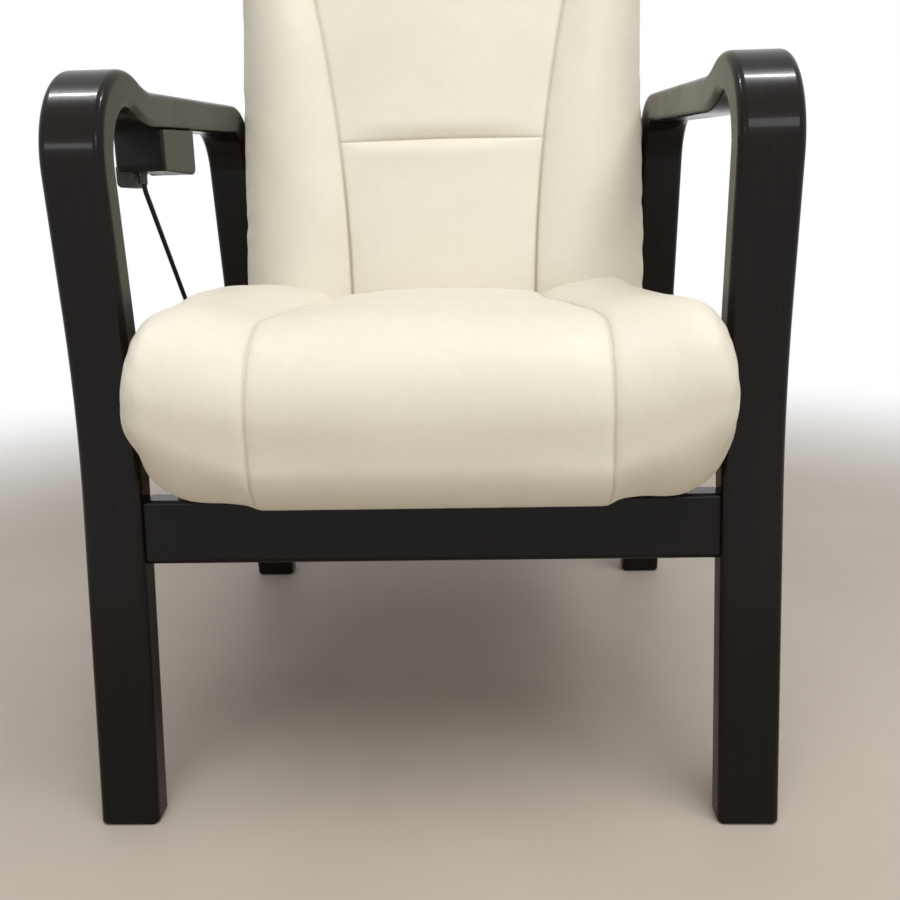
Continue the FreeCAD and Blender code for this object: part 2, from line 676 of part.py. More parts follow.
# Corner brackets between bearers and rails
brackets = []
bracket_screws = []
leg = 28.0
thick = 3.0
for face, way in ((front_rear_y, 1.0), (rear_front_y, -1.0)):
    z0 = bearer_low + 3
    z1 = RAIL_TOP - 3
    zm = (z0 + z1) / 2
    ya, yb = sorted((face, face + way * leg))
    yc, yd = sorted((face, face + way * thick))
    angle = box(bearer_in - thick, bearer_in, ya, yb, z0, z1)
    angle = angle.fuse(box(bearer_in - leg, bearer_in, yc, yd, z0, z1)).removeSplitter()
    out_x = rod_x(bearer_in - thick - 2, bearer_in + 14, face + way * 0.7 * leg, zm, 1.8)
    out_x = out_x.fuse(rod_x(bearer_in - thick - 2, bearer_in - thick, face + way * 0.7 * leg, zm, 3.6))
    ye, yf = sorted((face + way * (thick + 2), face - way * 13))
    yg, yh = sorted((face + way * (thick + 2), face + way * thick))
    out_y = rod_y(ye, yf, bearer_in - 0.7 * leg, zm, 1.8)
    out_y = out_y.fuse(rod_y(yg, yh, bearer_in - 0.7 * leg, zm, 3.6))
    screws = both(out_x) + both(out_y)
    bracket_screws += screws
    brackets += [b.cut(group(screws)) for b in both(angle)]
screw_group = group(bracket_screws)
bearer_pair = [b.cut(screw_group) for b in both(bearer)]
front_rail = front_rail.cut(screw_group)
nodes["rear_rail"] = nodes["rear_rail"].cut(screw_group)
nodes["seat_bearer_left"] = bearer_pair[0]
nodes["seat_bearer_right"] = bearer_pair[1]
nodes["corner_brackets"] = group(brackets)
nodes["bracket_screws"] = screw_group

# Gas spring: anchor on the front rail, head with rod held there, cylinder on the crank pin
ear_in = HEAD_W / 2 + 2
base_t = 4.0
base = box(-36, 36, front_rear_y, front_rear_y + base_t, RAIL_BOTTOM + 3, RAIL_TOP - 6)
ear = hull_x((front_rear_y + base_t, spring_z), 14.0, (ANCHOR_Y, spring_z), 11.0, ear_in, ear_in + base_t)
ear = ear.cut(box(0, 2 * ear_in, -ANCHOR_Y, front_rear_y + base_t / 2, 0, 2 * RAIL_TOP))
anchor = base.fuse(both(ear)).removeSplitter()
anchor_pin = rod_x(-ear_in - base_t - 3, ear_in + base_t + 3, ANCHOR_Y, spring_z, PIN_R)
for x in (-ear_in - base_t - 3, ear_in + base_t):
    anchor_pin = anchor_pin.fuse(rod_x(x, x + 3, ANCHOR_Y, spring_z, PIN_R + 2.5))
anchor_screws = []
for z in (RAIL_BOTTOM + 11, RAIL_TOP - 14):
    screw = rod_y(front_rear_y - 13, front_rear_y + base_t, 29, z, 2.2)
    anchor_screws += both(screw.fuse(rod_y(front_rear_y + base_t, front_rear_y + base_t + 2.5, 29, z, 4.4)))
screw_group = group(anchor_screws)
anchor = anchor.cut(group([anchor_pin, screw_group]))
front_rail = front_rail.cut(screw_group)
nodes["front_rail"] = front_rail
nodes["anchor_bracket"] = anchor
nodes["anchor_pin"] = anchor_pin.removeSplitter()
nodes["anchor_screws"] = screw_group

lever_y = ANCHOR_Y + 22.0      # middle of the release lever's thickness
block_y0 = lever_y + 12.0
block_y1 = block_y0 + 24.0
wall = HEAD_W / 2
lever_pivot_x = LEVER_ARM - 40.0
cable_x = -40.0
head = box(-wall, wall, block_y0, block_y1, spring_z - HEAD_H / 2, spring_z + HEAD_H / 2)
cheek = box(wall - HEAD_WALL, wall, ANCHOR_Y - 10, block_y0, spring_z - HEAD_H / 2, spring_z + HEAD_H / 2)
head = head.fuse(both(cheek))
lug_block = box(wall, lever_pivot_x + 7, lever_y - 7, block_y0, spring_z - HEAD_H / 2, spring_z + HEAD_H / 2)
head = head.fuse(lug_block)
slot_h = LEVER_H / 2 + 0.6
slot = box(-wall - 5, lever_pivot_x + 30, lever_y - 4.5, block_y0 - 2, spring_z - slot_h, spring_z + slot_h)
head = head.cut(slot)
stop = box(cable_x - 8, -wall, block_y1 - 6, block_y1, spring_z - 8, spring_z + 8)
head = head.fuse(stop).removeSplitter()
head = head.cut(group([nodes["anchor_pin"], rod_y(lever_y, block_y1, 0, spring_z, ROD_R)]))
lever_pin = rod_z(spring_z - HEAD_H / 2 - 2, spring_z + HEAD_H / 2 + 2, lever_pivot_x, lever_y, 2.5)
head = head.cut(lever_pin)

lever = box(
    cable_x - LEVER_T,
    lever_pivot_x + LEVER_T,
    lever_y - LEVER_T / 2,
    lever_y + LEVER_T / 2,
    spring_z - LEVER_H / 2,
    spring_z + LEVER_H / 2,
)
lever = soften(lever, 2.4, lambda e: along(e, "z"))
lever = lever.cut(rod_z(spring_z - 20, spring_z + 20, lever_pivot_x, lever_y, 2.5 + RUN))
slot = box(cable_x - 1.6, cable_x + 1.6, lever_y - 10, lever_y + 10, spring_z - 1.6, spring_z + 10)
lever = lever.cut(slot)
nodes["release_lever"] = lever
nodes["lever_pin"] = lever_pin

gland_y = block_y1 + ROD_SHOW
eye_y0 = pin_y - 20.0
cyl = rod_y(gland_y, eye_y0, 0, pin_z, CYL_R)
cyl = soften(cyl, 2.5, lambda e: e.Vertexes[0].Y < gland_y + 0.1 and len(e.Vertexes) == 1)
stroke = 2 * CRANK * math.sin(swing)
rod_end = gland_y + stroke + ROD_IN
cyl = cyl.cut(rod_y(gland_y, rod_end + stroke + 12, 0, pin_z, ROD_R + GLAND_GAP))
eye = box(-EYE_W / 2, EYE_W / 2, eye_y0, pin_y, pin_z - 11, pin_z + 11)
eye = eye.fuse(rod_x(-EYE_W / 2, EYE_W / 2, pin_y, pin_z, 11)).removeSplitter()
nodes["cylinder_eye"] = eye.cut(rod_x(-EYE_W / 2, EYE_W / 2, pin_y, pin_z, PIN_R + RUN))
nodes["gas_cylinder"] = cyl
nodes["gas_rod"] = rod_y(lever_y + LEVER_T / 2 + 3.6, rod_end, 0, spring_z, ROD_R)

# Lever housing under the right arm, worked on the positive side and mirrored when stored
h_out = INNER + STRIP - HOUSE_OUT
h_in = INNER + HOUSE_IN
h_y0 = HOUSE_FRONT
h_y1 = HOUSE_FRONT + HOUSE_LEN
h_z0 = arm_under(h_y0) - HOUSE_DROP
house = prism_x([(h_y0, h_z0), (h_y1, h_z0), (h_y1, arm_under(h_y1)), (h_y0, arm_under(h_y0))], h_in, h_out)
house = soften(house, 7.0, lambda e: along(e, "x") and e.Vertexes[0].Z < h_z0 + 1)
house = soften(house, 3.0, lambda e: along(e, "z"))
fork_y = h_y1 - 20.0           # paddle pivot
fork_z = h_z0 + 15.0
wire_y = fork_y - LEVER_ARM
wire_x = h_out - WIRE_SET
pad_in = h_out + 3.0 - PADDLE_W
slot_x = pad_in - 1.0
roof = h_z0 + 31.0
house = house.cut(box(slot_x, h_out + 20, h_y0 + 4.5, h_y1 - 6, h_z0 - 20, roof))
house = house.cut(box(wire_x - 6, slot_x, wire_y - 8, wire_y + 8, h_z0 + 5, roof))
ferrule = rod_z(h_z0 - 10, h_z0 + 5, wire_x, wire_y, 3.9)
ferrule = ferrule.fuse(rod_z(h_z0 - 2.5, h_z0, wire_x, wire_y, 4.6)).removeSplitter()
house = house.cut(rod_z(h_z0 - 20, h_z0 + 10, wire_x, wire_y, 3.9))
pin = rod_x(h_in + 8, h_out + 1.5, fork_y, fork_z, 2.5)
pin = pin.fuse(rod_x(h_out + 1.5, h_out + 2.8, fork_y, fork_z, 4.5)).removeSplitter()
house = house.cut(pin)
pad_y = h_y0 + 8.5
pad_z = h_z0 - PADDLE_DROP
paddle = box(pad_in, pad_in + PADDLE_W, pad_y, pad_y + PADDLE_LEN, pad_z, pad_z + PADDLE_H)
paddle = soften(paddle, 4.5, lambda e: along(e, "y") and e.Vertexes[0].Z < h_z0)
paddle = paddle.fuse(hull_x((fork_y, fork_z), 7.0, (wire_y + 4, fork_z - 3), 6.0, pad_in, h_out + 1.3))
hook = box(wire_x - 4.5, pad_in + 1, wire_y - 5, wire_y + 5, fork_z - 4, fork_z)
paddle = paddle.fuse(hook).removeSplitter()
paddle = paddle.cut(rod_x(h_in, h_out + 20, fork_y, fork_z, 2.5 + RUN))
paddle = paddle.cut(box(wire_x - 10, wire_x + 1.6, wire_y - 1.6, wire_y + 1.6, fork_z - 20, fork_z + 5))
house_screws = []
for y in (h_y0 + SCREW_FRONT, h_y1 - SCREW_REAR):
    x = h_in + 10
    top = arm_under(y) + SCREW_IN
    screw = rod_z(h_z0, top, x, y, 2.2)
    house_screws.append(screw.fuse(Part.makeCone(4.6, 2.2, 3.0, V(x, y, h_z0), V(0, 0, 1))).removeSplitter())
screw_group = group(house_screws)
house = house.cut(screw_group)
arm_hole = mirror_x(screw_group)
nodes["side_frame_left"] = loop
nodes["side_frame_right"] = mirror_x(loop).cut(arm_hole)
nodes["housing_screws"] = arm_hole
nodes["lever_housing"] = mirror_x(house)
nodes["paddle"] = mirror_x(paddle)
nodes["paddle_pin"] = mirror_x(pin)

# Release cable: straight runs joined by tangent arcs, from the ferrule to the stop on the head
sheath_top = h_z0 - 1.0
knee = h_z0 - 12.0
cable_low_z = bearer_low - CABLE_DROP
cable_low_y = wire_y + (knee - cable_low_z) * math.tan(rad(CABLE_RUN))
stop_y = block_y1 - 3.0
corners = [
    V(-wire_x, wire_y, sheath_top),
    V(-wire_x, wire_y, knee),
    V(-wire_x, cable_low_y, cable_low_z),
    V(cable_x, cable_low_y, spring_z),
    V(cable_x, stop_y, spring_z),
]
turns = [CABLE_TOP_BEND, CABLE_BEND, CABLE_BEND]
path = []
here = corners[0]
length = 0.0
for i in range(1, len(corners) - 1):
    p = corners[i]
    a = corners[i - 1].sub(p).normalize()
    b = corners[i + 1].sub(p).normalize()
    half = a.getAngle(b) / 2
    cut = turns[i - 1] / math.tan(half)
    mid = a.add(b).normalize().multiply(turns[i - 1] / math.sin(half) - turns[i - 1])
    p0 = p.add(V(a).multiply(cut))
    p1 = p.add(V(b).multiply(cut))
    path.append(Part.LineSegment(here, p0).toShape())
    path.append(Part.Arc(p0, p.add(mid), p1).toShape())
    length += here.distanceToPoint(p0) + turns[i - 1] * (math.pi - 2 * half)
    here = p1
path.append(Part.LineSegment(here, corners[-1]).toShape())
length += here.distanceToPoint(corners[-1])
spine = Part.Wire(path)
ring = Part.Wire(Part.makeCircle(CABLE_R, corners[0], V(0, 0, -1)))
cable = spine.makePipeShell([ring], True, True)
ratio = cable.Volume / (math.pi * CABLE_R**2 * length)
print("cable", round(length, 1), "volume ratio", round(ratio, 4), "radii", turns)
whole_cable = cable
pull = LEVER_ARM * rad(SQUEEZE)
cable = cable.cut(rod_z(sheath_top - 9, sheath_top, -wire_x, wire_y, WIRE_BORE))
cable = cable.cut(rod_y(stop_y, stop_y + 40, cable_x, spring_z, WIRE_BORE))
ferrule = mirror_x(ferrule)
ferrule = ferrule.cut(whole_cable).cut(rod_z(h_z0 - 5, h_z0 + 10, -wire_x, wire_y, WIRE_BORE))
nodes["cable_ferrule"] = ferrule
nodes["release_cable"] = cable
head = head.cut(whole_cable).cut(rod_y(block_y1 - 10, block_y1, cable_x, spring_z, WIRE_BORE))
nodes["spring_head"] = head
core = rod_z(sheath_top - 7, fork_z + 5, -wire_x, wire_y, WIRE_R)
nodes["wire_upper"] = core.fuse(rod_z(fork_z + 0.4, fork_z + 5, -wire_x, wire_y, 2.5)).removeSplitter()
tip = lever_y - LEVER_T / 2
core = rod_y(tip - 5, stop_y + 25, cable_x, spring_z, WIRE_R)
nodes["wire_lower"] = core.fuse(rod_y(tip - 5, tip - 0.4, cable_x, spring_z, 2.5)).removeSplitter()

clips = []
saddle = box(
    -bearer_mid - CLIP_W / 2,
    -bearer_mid + CLIP_W / 2,
    cable_low_y - CLIP_W / 2,
    cable_low_y + CLIP_W / 2,
    min(spring_z, cable_low_z) - CABLE_R - CLIP_T,
    bearer_low,
)
clips.append(saddle.cut(whole_cable))
hang_y = board_rear - HANG_BACK
clip_x0 = cable_x - CLIP_W / 2
clip_x1 = cable_x + CLIP_W / 2
hanger = box(clip_x0, clip_x1, hang_y, hang_y + CLIP_T, spring_z - CLIP_W / 2, RAIL_TOP)
hanger = hanger.fuse(box(clip_x0, clip_x1, hang_y, hang_y + CLIP_FOOT, RAIL_TOP - CLIP_T, RAIL_TOP))
hanger = hanger.removeSplitter()
clips.append(hanger.cut(whole_cable))
nodes["cable_clips"] = group(clips)

# Centre the chair over the origin and write every node
whole = FreeCAD.BoundBox()
for shape in nodes.values():
    whole.add(shape.BoundBox)
move = V(0, -(whole.YMin + whole.YMax) / 2, 0)
for name, shape in nodes.items():
    shape.translate(move)
    if not shape.isValid():
        print("not valid:", name)
    shape.exportStep("parts/%s.step" % name)
print("size", round(whole.XLength, 1), round(whole.YLength, 1), round(whole.ZLength, 1))
print("shift", round(move.y, 3))
print("pivot", [round(a, 3) for a in (0, py + move.y, pz)])
print("crank pin", [round(a, 3) for a in (0, pin_y + move.y, pin_z)], "spring axis", round(spring_z, 3))
print("release lever pivot", [round(a, 3) for a in (lever_pivot_x, lever_y + move.y, spring_z)])
print("paddle pivot", [round(a, 3) for a in (-h_out, fork_y + move.y, fork_z)])
print("pull", round(pull, 3), "parts", len(nodes))
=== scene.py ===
import json
import math

import bmesh
import bpy
import numpy as np
from mathutils import Matrix, Vector


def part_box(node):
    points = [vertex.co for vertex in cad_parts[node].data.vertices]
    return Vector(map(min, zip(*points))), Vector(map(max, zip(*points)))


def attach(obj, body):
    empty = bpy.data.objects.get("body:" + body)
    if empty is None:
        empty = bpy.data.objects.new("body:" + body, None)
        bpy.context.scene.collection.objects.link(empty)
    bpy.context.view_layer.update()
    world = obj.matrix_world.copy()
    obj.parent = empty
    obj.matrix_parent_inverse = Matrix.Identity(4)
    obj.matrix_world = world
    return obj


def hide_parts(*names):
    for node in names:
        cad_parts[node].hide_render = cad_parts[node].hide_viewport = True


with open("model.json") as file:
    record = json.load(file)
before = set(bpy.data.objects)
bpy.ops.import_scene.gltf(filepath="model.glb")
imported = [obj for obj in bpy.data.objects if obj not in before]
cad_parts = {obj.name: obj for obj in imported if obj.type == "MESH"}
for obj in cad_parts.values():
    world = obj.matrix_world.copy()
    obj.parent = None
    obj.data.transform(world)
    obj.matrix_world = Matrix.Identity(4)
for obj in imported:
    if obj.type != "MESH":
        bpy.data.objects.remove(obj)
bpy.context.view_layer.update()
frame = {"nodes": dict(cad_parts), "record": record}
nodes = frame["nodes"]
scene = bpy.context.scene
scene.view_settings.view_transform = "Standard"

# Lengths are millimetres in the part's own building frame: Y = 0 at the front of the front feet.
MM = 0.001
FOOT_EDGE = 0.35         # the foot's softened edge stands this far behind Y = 0
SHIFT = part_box("side_frame_left")[0].y / MM - FOOT_EDGE

# Seat
SEAT_HALF = 222.5        # half the width
SEAT_FRONT = 45.0        # overhang ahead of the front feet
SEAT_LOW = 276.0         # underside, above the floor
SEAT_H = 141.0           # height at the seams
SEAT_FALL = 10.5         # drop of the top towards the rear
SEAT_SEAM = 126.0        # seams from the middle
SEAT_SIDE = 22.0         # reach of the rounding at the sides
SEAT_TUCK = 56.0         # reach of the rounding under the sides
SEAT_CROWN = 3.5         # rise of the middle panel
SIDE_SWELL = 13.0        # rise of the side panels
SEAM_DIP = 1.7           # depth of the sewn channel
SEAM_REACH = 9.0         # half the width of that channel
SEAM_SPREAD = 5.0        # seams this much further out at the front
SEAM_DRAW = 17.0         # and this much nearer to each other at the rear
SIDE_DROP = 40.0         # fall of the top over the rounding at the sides
TUCK_RISE = 60.0         # rise of the underside over the rounding under the sides
FRONT_DRAW = 20.0        # how far the front is drawn back at the sides
SEAT_EDGE = SEAT_HALF - 0.5

# Back, along its own lean: x across, t rearward from the front plane, s up from the foot
LEAN = math.radians(13.1)
BACK_FOOT_Y = 387.6
BACK_FOOT_Z = 300.0
BACK_GAP = 15.5          # room between the back's front plane and the seat
BACK_HALF = 227.5
BACK_LOW = 30.0
BACK_LEN = 720.0
BACK_DEEP = 84.0
WAIST_SEAM = 280.0
HEAD_SEAM = 545.0
CROSS_REACH = 20.0       # half the width of the channel at a cross seam
BACK_SEAM_LOW = 103.0    # side seams from the middle at the seat
BACK_SEAM_FLARE = 62.0   # how much further out they are at the head seam
BACK_FOOT_ROUND = 30.0   # reach of the rounding at the foot
BACK_HEAD_ROUND = 75.0   # reach of the rounding at the head
BOLSTER_SWELL = 14.0     # side bolsters stand this far ahead of the front plane
BACK_SWELL = 9.0         # rise of the middle panels
HEAD_SWELL = 11.0        # further rise of the head panel
BACK_EDGE = 12.0         # radius of the rear edges
FOOT_NARROW = 14.0       # how much each side comes in at the foot
HEAD_NARROW = 62.0       # and at the head
FOOT_DRAW = 18.0         # how far the front is drawn back at the foot
HEAD_DRAW = 40.0         # and at the head
BACK_GROOVE = 3.0        # side seams behind the front plane
BACK_FLANK = 16.0        # where the front cover meets the flank

# Rear panel, in the back's own directions
PANEL_HALF = 207.5
PANEL_LOW = 42.5
PANEL_HIGH = 693.5
PANEL_IN = 78.0
PANEL_OUT = 86.0
PANEL_HEAD_ROUND = 44.5  # radius of its upper corners
PANEL_FOOT_ROUND = 6.0

# Cloth simulation
CLOTH_FRAMES = 22
CLOTH_CAP = 0.006        # furthest move of a point, in metres
CLOTH_SMOOTHING = 4      # rounds of averaging over neighbours


def to_row(points):
    """Building frame in millimetres to the row frame in metres."""
    out = np.array(points, float)
    out[..., 1] += SHIFT
    return out * MM


def smooth(a, b, x):
    """Soft step from 0 at a to 1 at b."""
    u = np.clip((x - a) / (b - a), 0.0, 1.0)
    return u * u * (3 - 2 * u)


# Materials
def material(name):
    mat = bpy.data.materials.new(name)
    mat.use_nodes = True
    tree = mat.node_tree
    bsdf = tree.nodes["Principled BSDF"]
    return mat, tree, bsdf


def add(tree, kind, **settings):
    """New node; each setting is the name of an input or of a property."""
    node = tree.nodes.new(kind)
    for key, value in settings.items():
        if key in node.inputs:
            node.inputs[key].default_value = value
        else:
            setattr(node, key, value)
    return node


def noise(tree, vector, scale, detail=3.0, rough=0.55):
    n = add(tree, "ShaderNodeTexNoise", Scale=scale, Detail=detail, Roughness=rough)
    tree.links.new(vector, n.inputs["Vector"])
    return n.outputs["Fac"]


def ramp(tree, fac, stops):
    node = tree.nodes.new("ShaderNodeValToRGB")
    tree.links.new(fac, node.inputs["Fac"])
    ends = node.color_ramp.elements
    while len(ends) < len(stops):
        ends.new(0.5)
    for e, (pos, colour) in zip(ends, stops):
        e.position = pos
        e.color = (*colour, 1.0)
    return node.outputs["Color"]


def span(tree, fac, low, high, a=0.0, b=1.0):
    """Carries fac from the range a to b over to the range low to high."""
    node = add(tree, "ShaderNodeMapRange")
    tree.links.new(fac, node.inputs["Value"])
    for key, value in zip(("From Min", "From Max", "To Min", "To Max"), (a, b, low, high)):
        node.inputs[key].default_value = value
    return node.outputs["Result"]


def bump(tree, height, strength, distance, below=None):
    node = add(tree, "ShaderNodeBump", Strength=strength, Distance=distance)
    tree.links.new(height, node.inputs["Height"])
    if below is not None:
        tree.links.new(below, node.inputs["Normal"])
    return node.outputs["Normal"]


def place(tree, scale=(1.0, 1.0, 1.0)):
    coords = add(tree, "ShaderNodeTexCoord")
    mapping = add(tree, "ShaderNodeMapping", Scale=scale)
    tree.links.new(coords.outputs["Object"], mapping.inputs["Vector"])
    return mapping.outputs["Vector"]


def mix_colour(tree, fac, a, b):
    """Mix of two colours; each of fac, a and b is a socket or a value."""
    node = tree.nodes.new("ShaderNodeMix")
    node.data_type = "RGBA"
    for value, index in ((fac, 0), (a, 6), (b, 7)):
        if isinstance(value, bpy.types.NodeSocket):
            tree.links.new(value, node.inputs[index])
        elif isinstance(value, tuple):
            node.inputs[index].default_value = (*value, 1.0)
        else:
            node.inputs[index].default_value = value
    return node.outputs[2]


def leather():
    mat, tree, bsdf = material("cream_leather")
    where = place(tree)
    broad = noise(tree, where, 7.0, 3.0)
    mottle = noise(tree, where, 90.0, 4.0)
    base = ramp(tree, broad, [(0.3, (0.812, 0.768, 0.630)), (0.7, (0.850, 0.811, 0.686))])
    base = mix_colour(tree, span(tree, mottle, 0.0, 0.10, 0.35, 0.75), base, (0.70, 0.62, 0.45))
    # painted shade: the seam attribute darkens the leather along the sewn creases and side edges, partly the
    # seam lines' own darker colour and partly shade painted into their creases
    seam = add(tree, "ShaderNodeAttribute", attribute_name="seam")
    base = mix_colour(tree, seam.outputs["Fac"], base, (0.30, 0.245, 0.15))
    tree.links.new(base, bsdf.inputs["Base Color"])
    cells = add(tree, "ShaderNodeTexVoronoi", Scale=620.0, feature="DISTANCE_TO_EDGE")
    tree.links.new(where, cells.inputs["Vector"])
    pebble = span(tree, cells.outputs["Distance"], 0.0, 1.0, 0.0, 0.22)
    fine = noise(tree, where, 1500.0, 2.0)
    slack = noise(tree, where, 38.0, 5.0, 0.6)
    first = bump(tree, slack, 0.10, 0.004)
    second = bump(tree, pebble, 0.16, 0.0004, first)
    third = bump(tree, fine, 0.06, 0.0003, second)
    tree.links.new(third, bsdf.inputs["Normal"])
    tree.links.new(span(tree, mottle, 0.42, 0.58, 0.3, 0.7), bsdf.inputs["Roughness"])
    bsdf.inputs["Specular IOR Level"].default_value = 0.38
    return mat


LOOP_MIDDLE_Y = 0.03     # the point that the grain of a side loop runs round, in metres
LOOP_MIDDLE_Z = 0.30


def lacquer(name, axis):
    """Near-black gloss lacquer; the faint grain runs round the loop, or along X on a rail."""
    mat, tree, bsdf = material(name)
    coords = add(tree, "ShaderNodeTexCoord")
    split = add(tree, "ShaderNodeSeparateXYZ")
    tree.links.new(coords.outputs["Object"], split.inputs[0])
    join = add(tree, "ShaderNodeCombineXYZ")
    if axis == "loop":
        turn = add(tree, "ShaderNodeMath", operation="ARCTAN2")
        for axis_name, middle, socket in (("Z", LOOP_MIDDLE_Z, 0), ("Y", LOOP_MIDDLE_Y, 1)):
            offset = add(tree, "ShaderNodeMath", operation="SUBTRACT")
            tree.links.new(split.outputs[axis_name], offset.inputs[0])
            offset.inputs[1].default_value = middle
            tree.links.new(offset.outputs[0], turn.inputs[socket])
        tree.links.new(split.outputs["X"], join.inputs["X"])
        tree.links.new(turn.outputs[0], join.inputs["Y"])
        scale = (260.0, 3.5, 1.0)
    else:
        tree.links.new(split.outputs["Z"], join.inputs["X"])
        tree.links.new(split.outputs["X"], join.inputs["Y"])
        tree.links.new(split.outputs["Y"], join.inputs["Z"])
        scale = (260.0, 9.0, 60.0)
    mapping = add(tree, "ShaderNodeMapping", Scale=scale)
    tree.links.new(join.outputs[0], mapping.inputs["Vector"])
    grain = noise(tree, mapping.outputs[0], 1.0, 5.0, 0.6)
    cloud = noise(tree, coords.outputs["Object"], 9.0, 2.0)
    tone = ramp(tree, grain, [(0.25, (0.0052, 0.0036, 0.0028)), (0.75, (0.0098, 0.0065, 0.0047))])
    tone = mix_colour(tree, span(tree, cloud, 0.0, 0.35, 0.35, 0.75), tone, (0.0075, 0.0055, 0.0046))
    tree.links.new(tone, bsdf.inputs["Base Color"])
    peel = noise(tree, coords.outputs["Object"], 70.0, 2.0)
    first = bump(tree, peel, 0.012, 0.004)
    second = bump(tree, grain, 0.022, 0.0004, first)
    tree.links.new(second, bsdf.inputs["Normal"])
    tree.links.new(span(tree, cloud, 0.20, 0.30, 0.3, 0.7), bsdf.inputs["Roughness"])
    bsdf.inputs["Specular IOR Level"].default_value = 0.10
    bsdf.inputs["Coat Weight"].default_value = 0.14
    bsdf.inputs["Coat Roughness"].default_value = 0.085
    return mat


def plain_wood():
    mat, tree, bsdf = material("plain_wood")
    where = place(tree, (8.0, 8.0, 90.0))
    grain = noise(tree, where, 1.0, 6.0, 0.6)
    knots = noise(tree, place(tree), 14.0, 2.0)
    tone = ramp(tree, grain, [(0.3, (0.42, 0.29, 0.16)), (0.7, (0.60, 0.45, 0.28))])
    tone = mix_colour(tree, span(tree, knots, 0.0, 0.3, 0.4, 0.8), tone, (0.36, 0.24, 0.13))
    tree.links.new(tone, bsdf.inputs["Base Color"])
    tree.links.new(bump(tree, grain, 0.15, 0.0006), bsdf.inputs["Normal"])
    bsdf.inputs["Roughness"].default_value = 0.62
    return mat


def metal(name, colour, dark, rough, metallic, scale, depth):
    """Metal, or moulded plastic where metallic is 0: two tones, with a fine grain of scale and depth."""
    mat, tree, bsdf = material(name)
    where = place(tree)
    cloud = noise(tree, where, 40.0, 3.0)
    fine = noise(tree, where, scale, 2.0)
    tone = mix_colour(tree, span(tree, cloud, 0.0, 1.0, 0.3, 0.7), colour, dark)
    tree.links.new(tone, bsdf.inputs["Base Color"])
    tree.links.new(span(tree, fine, rough - 0.07, rough + 0.07, 0.3, 0.7), bsdf.inputs["Roughness"])
    tree.links.new(bump(tree, fine, depth, 0.0004), bsdf.inputs["Normal"])
    bsdf.inputs["Metallic"].default_value = metallic
    if not metallic:
        bsdf.inputs["Specular IOR Level"].default_value = 0.25
    return mat


def webbing():
    mat, tree, bsdf = material("webbing")
    where = place(tree)
    weave = add(tree, "ShaderNodeTexWave", Scale=260.0, Distortion=0.6)
    weave.bands_direction = "Z"
    tree.links.new(where, weave.inputs["Vector"])
    ribs = add(tree, "ShaderNodeTexWave", Scale=130.0, Distortion=0.4)
    tree.links.new(where, ribs.inputs["Vector"])
    both = mix_colour(tree, 0.5, weave.outputs["Color"], ribs.outputs["Color"])
    tone = mix_colour(tree, both, (0.08, 0.075, 0.065), (0.22, 0.21, 0.18))
    tree.links.new(tone, bsdf.inputs["Base Color"])
    tree.links.new(bump(tree, both, 0.5, 0.0006), bsdf.inputs["Normal"])
    bsdf.inputs["Roughness"].default_value = 0.85
    return mat


LEATHER = leather()
looks = {
    "lacquered_wood": lacquer("lacquered_loop", "loop"),
    "plain_wood": plain_wood(),
    "cream_leather": LEATHER,
    "zinc_steel": metal("zinc_steel", (0.66, 0.66, 0.64), (0.50, 0.50, 0.49), 0.34, 1.0, 300.0, 0.08),
    "black_steel": metal("black_steel", (0.022, 0.022, 0.023), (0.034, 0.034, 0.034), 0.42, 0.0, 900.0, 0.25),
    "cast_alloy": metal("cast_alloy", (0.56, 0.56, 0.57), (0.44, 0.44, 0.45), 0.48, 1.0, 500.0, 0.3),
    "bright_rod": metal("bright_rod", (0.80, 0.80, 0.80), (0.74, 0.74, 0.75), 0.12, 1.0, 400.0, 0.02),
    "black_plastic": metal(
        "black_plastic", (0.006, 0.0056, 0.0054), (0.011, 0.010, 0.0095), 0.36, 0.0, 1300.0, 0.2
    ),
    "grey_plastic": metal(
        "grey_plastic", (0.052, 0.055, 0.048), (0.072, 0.075, 0.066), 0.5, 0.0, 1300.0, 0.2
    ),
    "webbing": webbing(),
}
RAIL_LACQUER = lacquer("lacquered_rail", "x")
DARK_STEEL = metal("dark_steel", (0.075, 0.075, 0.07), (0.05, 0.05, 0.048), 0.40, 0.6, 500.0, 0.1)
special = {"front_rail": RAIL_LACQUER, "rear_rail": RAIL_LACQUER, "cable_ferrule": DARK_STEEL}
for row in frame["record"]["subparts"]:
    slots = nodes[row["node"]].data.materials
    slots.clear()
    slots.append(special.get(row["node"], looks[row["material_slot"]]))


# Cushions: closed profiles, stacked along a line of stations, closed at both ends by shrinking rings
def rounded_loop(corners, radii, counts):
    """Points round a polygon with rounded corners: counts hold arc and line points in turn."""
    pts = []
    corners = [np.array(c, float) for c in corners]
    n = len(corners)
    ends = []
    for i in range(n):
        a = corners[i - 1] - corners[i]
        b = corners[(i + 1) % n] - corners[i]
        a /= np.linalg.norm(a)
        b /= np.linalg.norm(b)
        half = math.acos(float(np.clip(a @ b, -1, 1))) / 2
        mid = (a + b) / np.linalg.norm(a + b)
        centre = corners[i] + mid * radii[i] / math.sin(half)
        p0 = corners[i] + a * radii[i] / math.tan(half)
        p1 = corners[i] + b * radii[i] / math.tan(half)
        ends.append((p0, p1, centre, radii[i]))
    for i in range(n):
        p0, p1, centre, r = ends[i]
        a0 = math.atan2(*(p0 - centre)[::-1])
        turn = (math.atan2(*(p1 - centre)[::-1]) - a0 + math.pi) % (2 * math.pi) - math.pi
        for k in range(counts[2 * i]):
            a = a0 + turn * k / counts[2 * i]
            pts.append(centre + r * np.array([math.cos(a), math.sin(a)]))
        q = ends[(i + 1) % n][0]
        for k in range(counts[2 * i + 1]):
            pts.append(p1 + (q - p1) * k / counts[2 * i + 1])
    return np.array(pts)


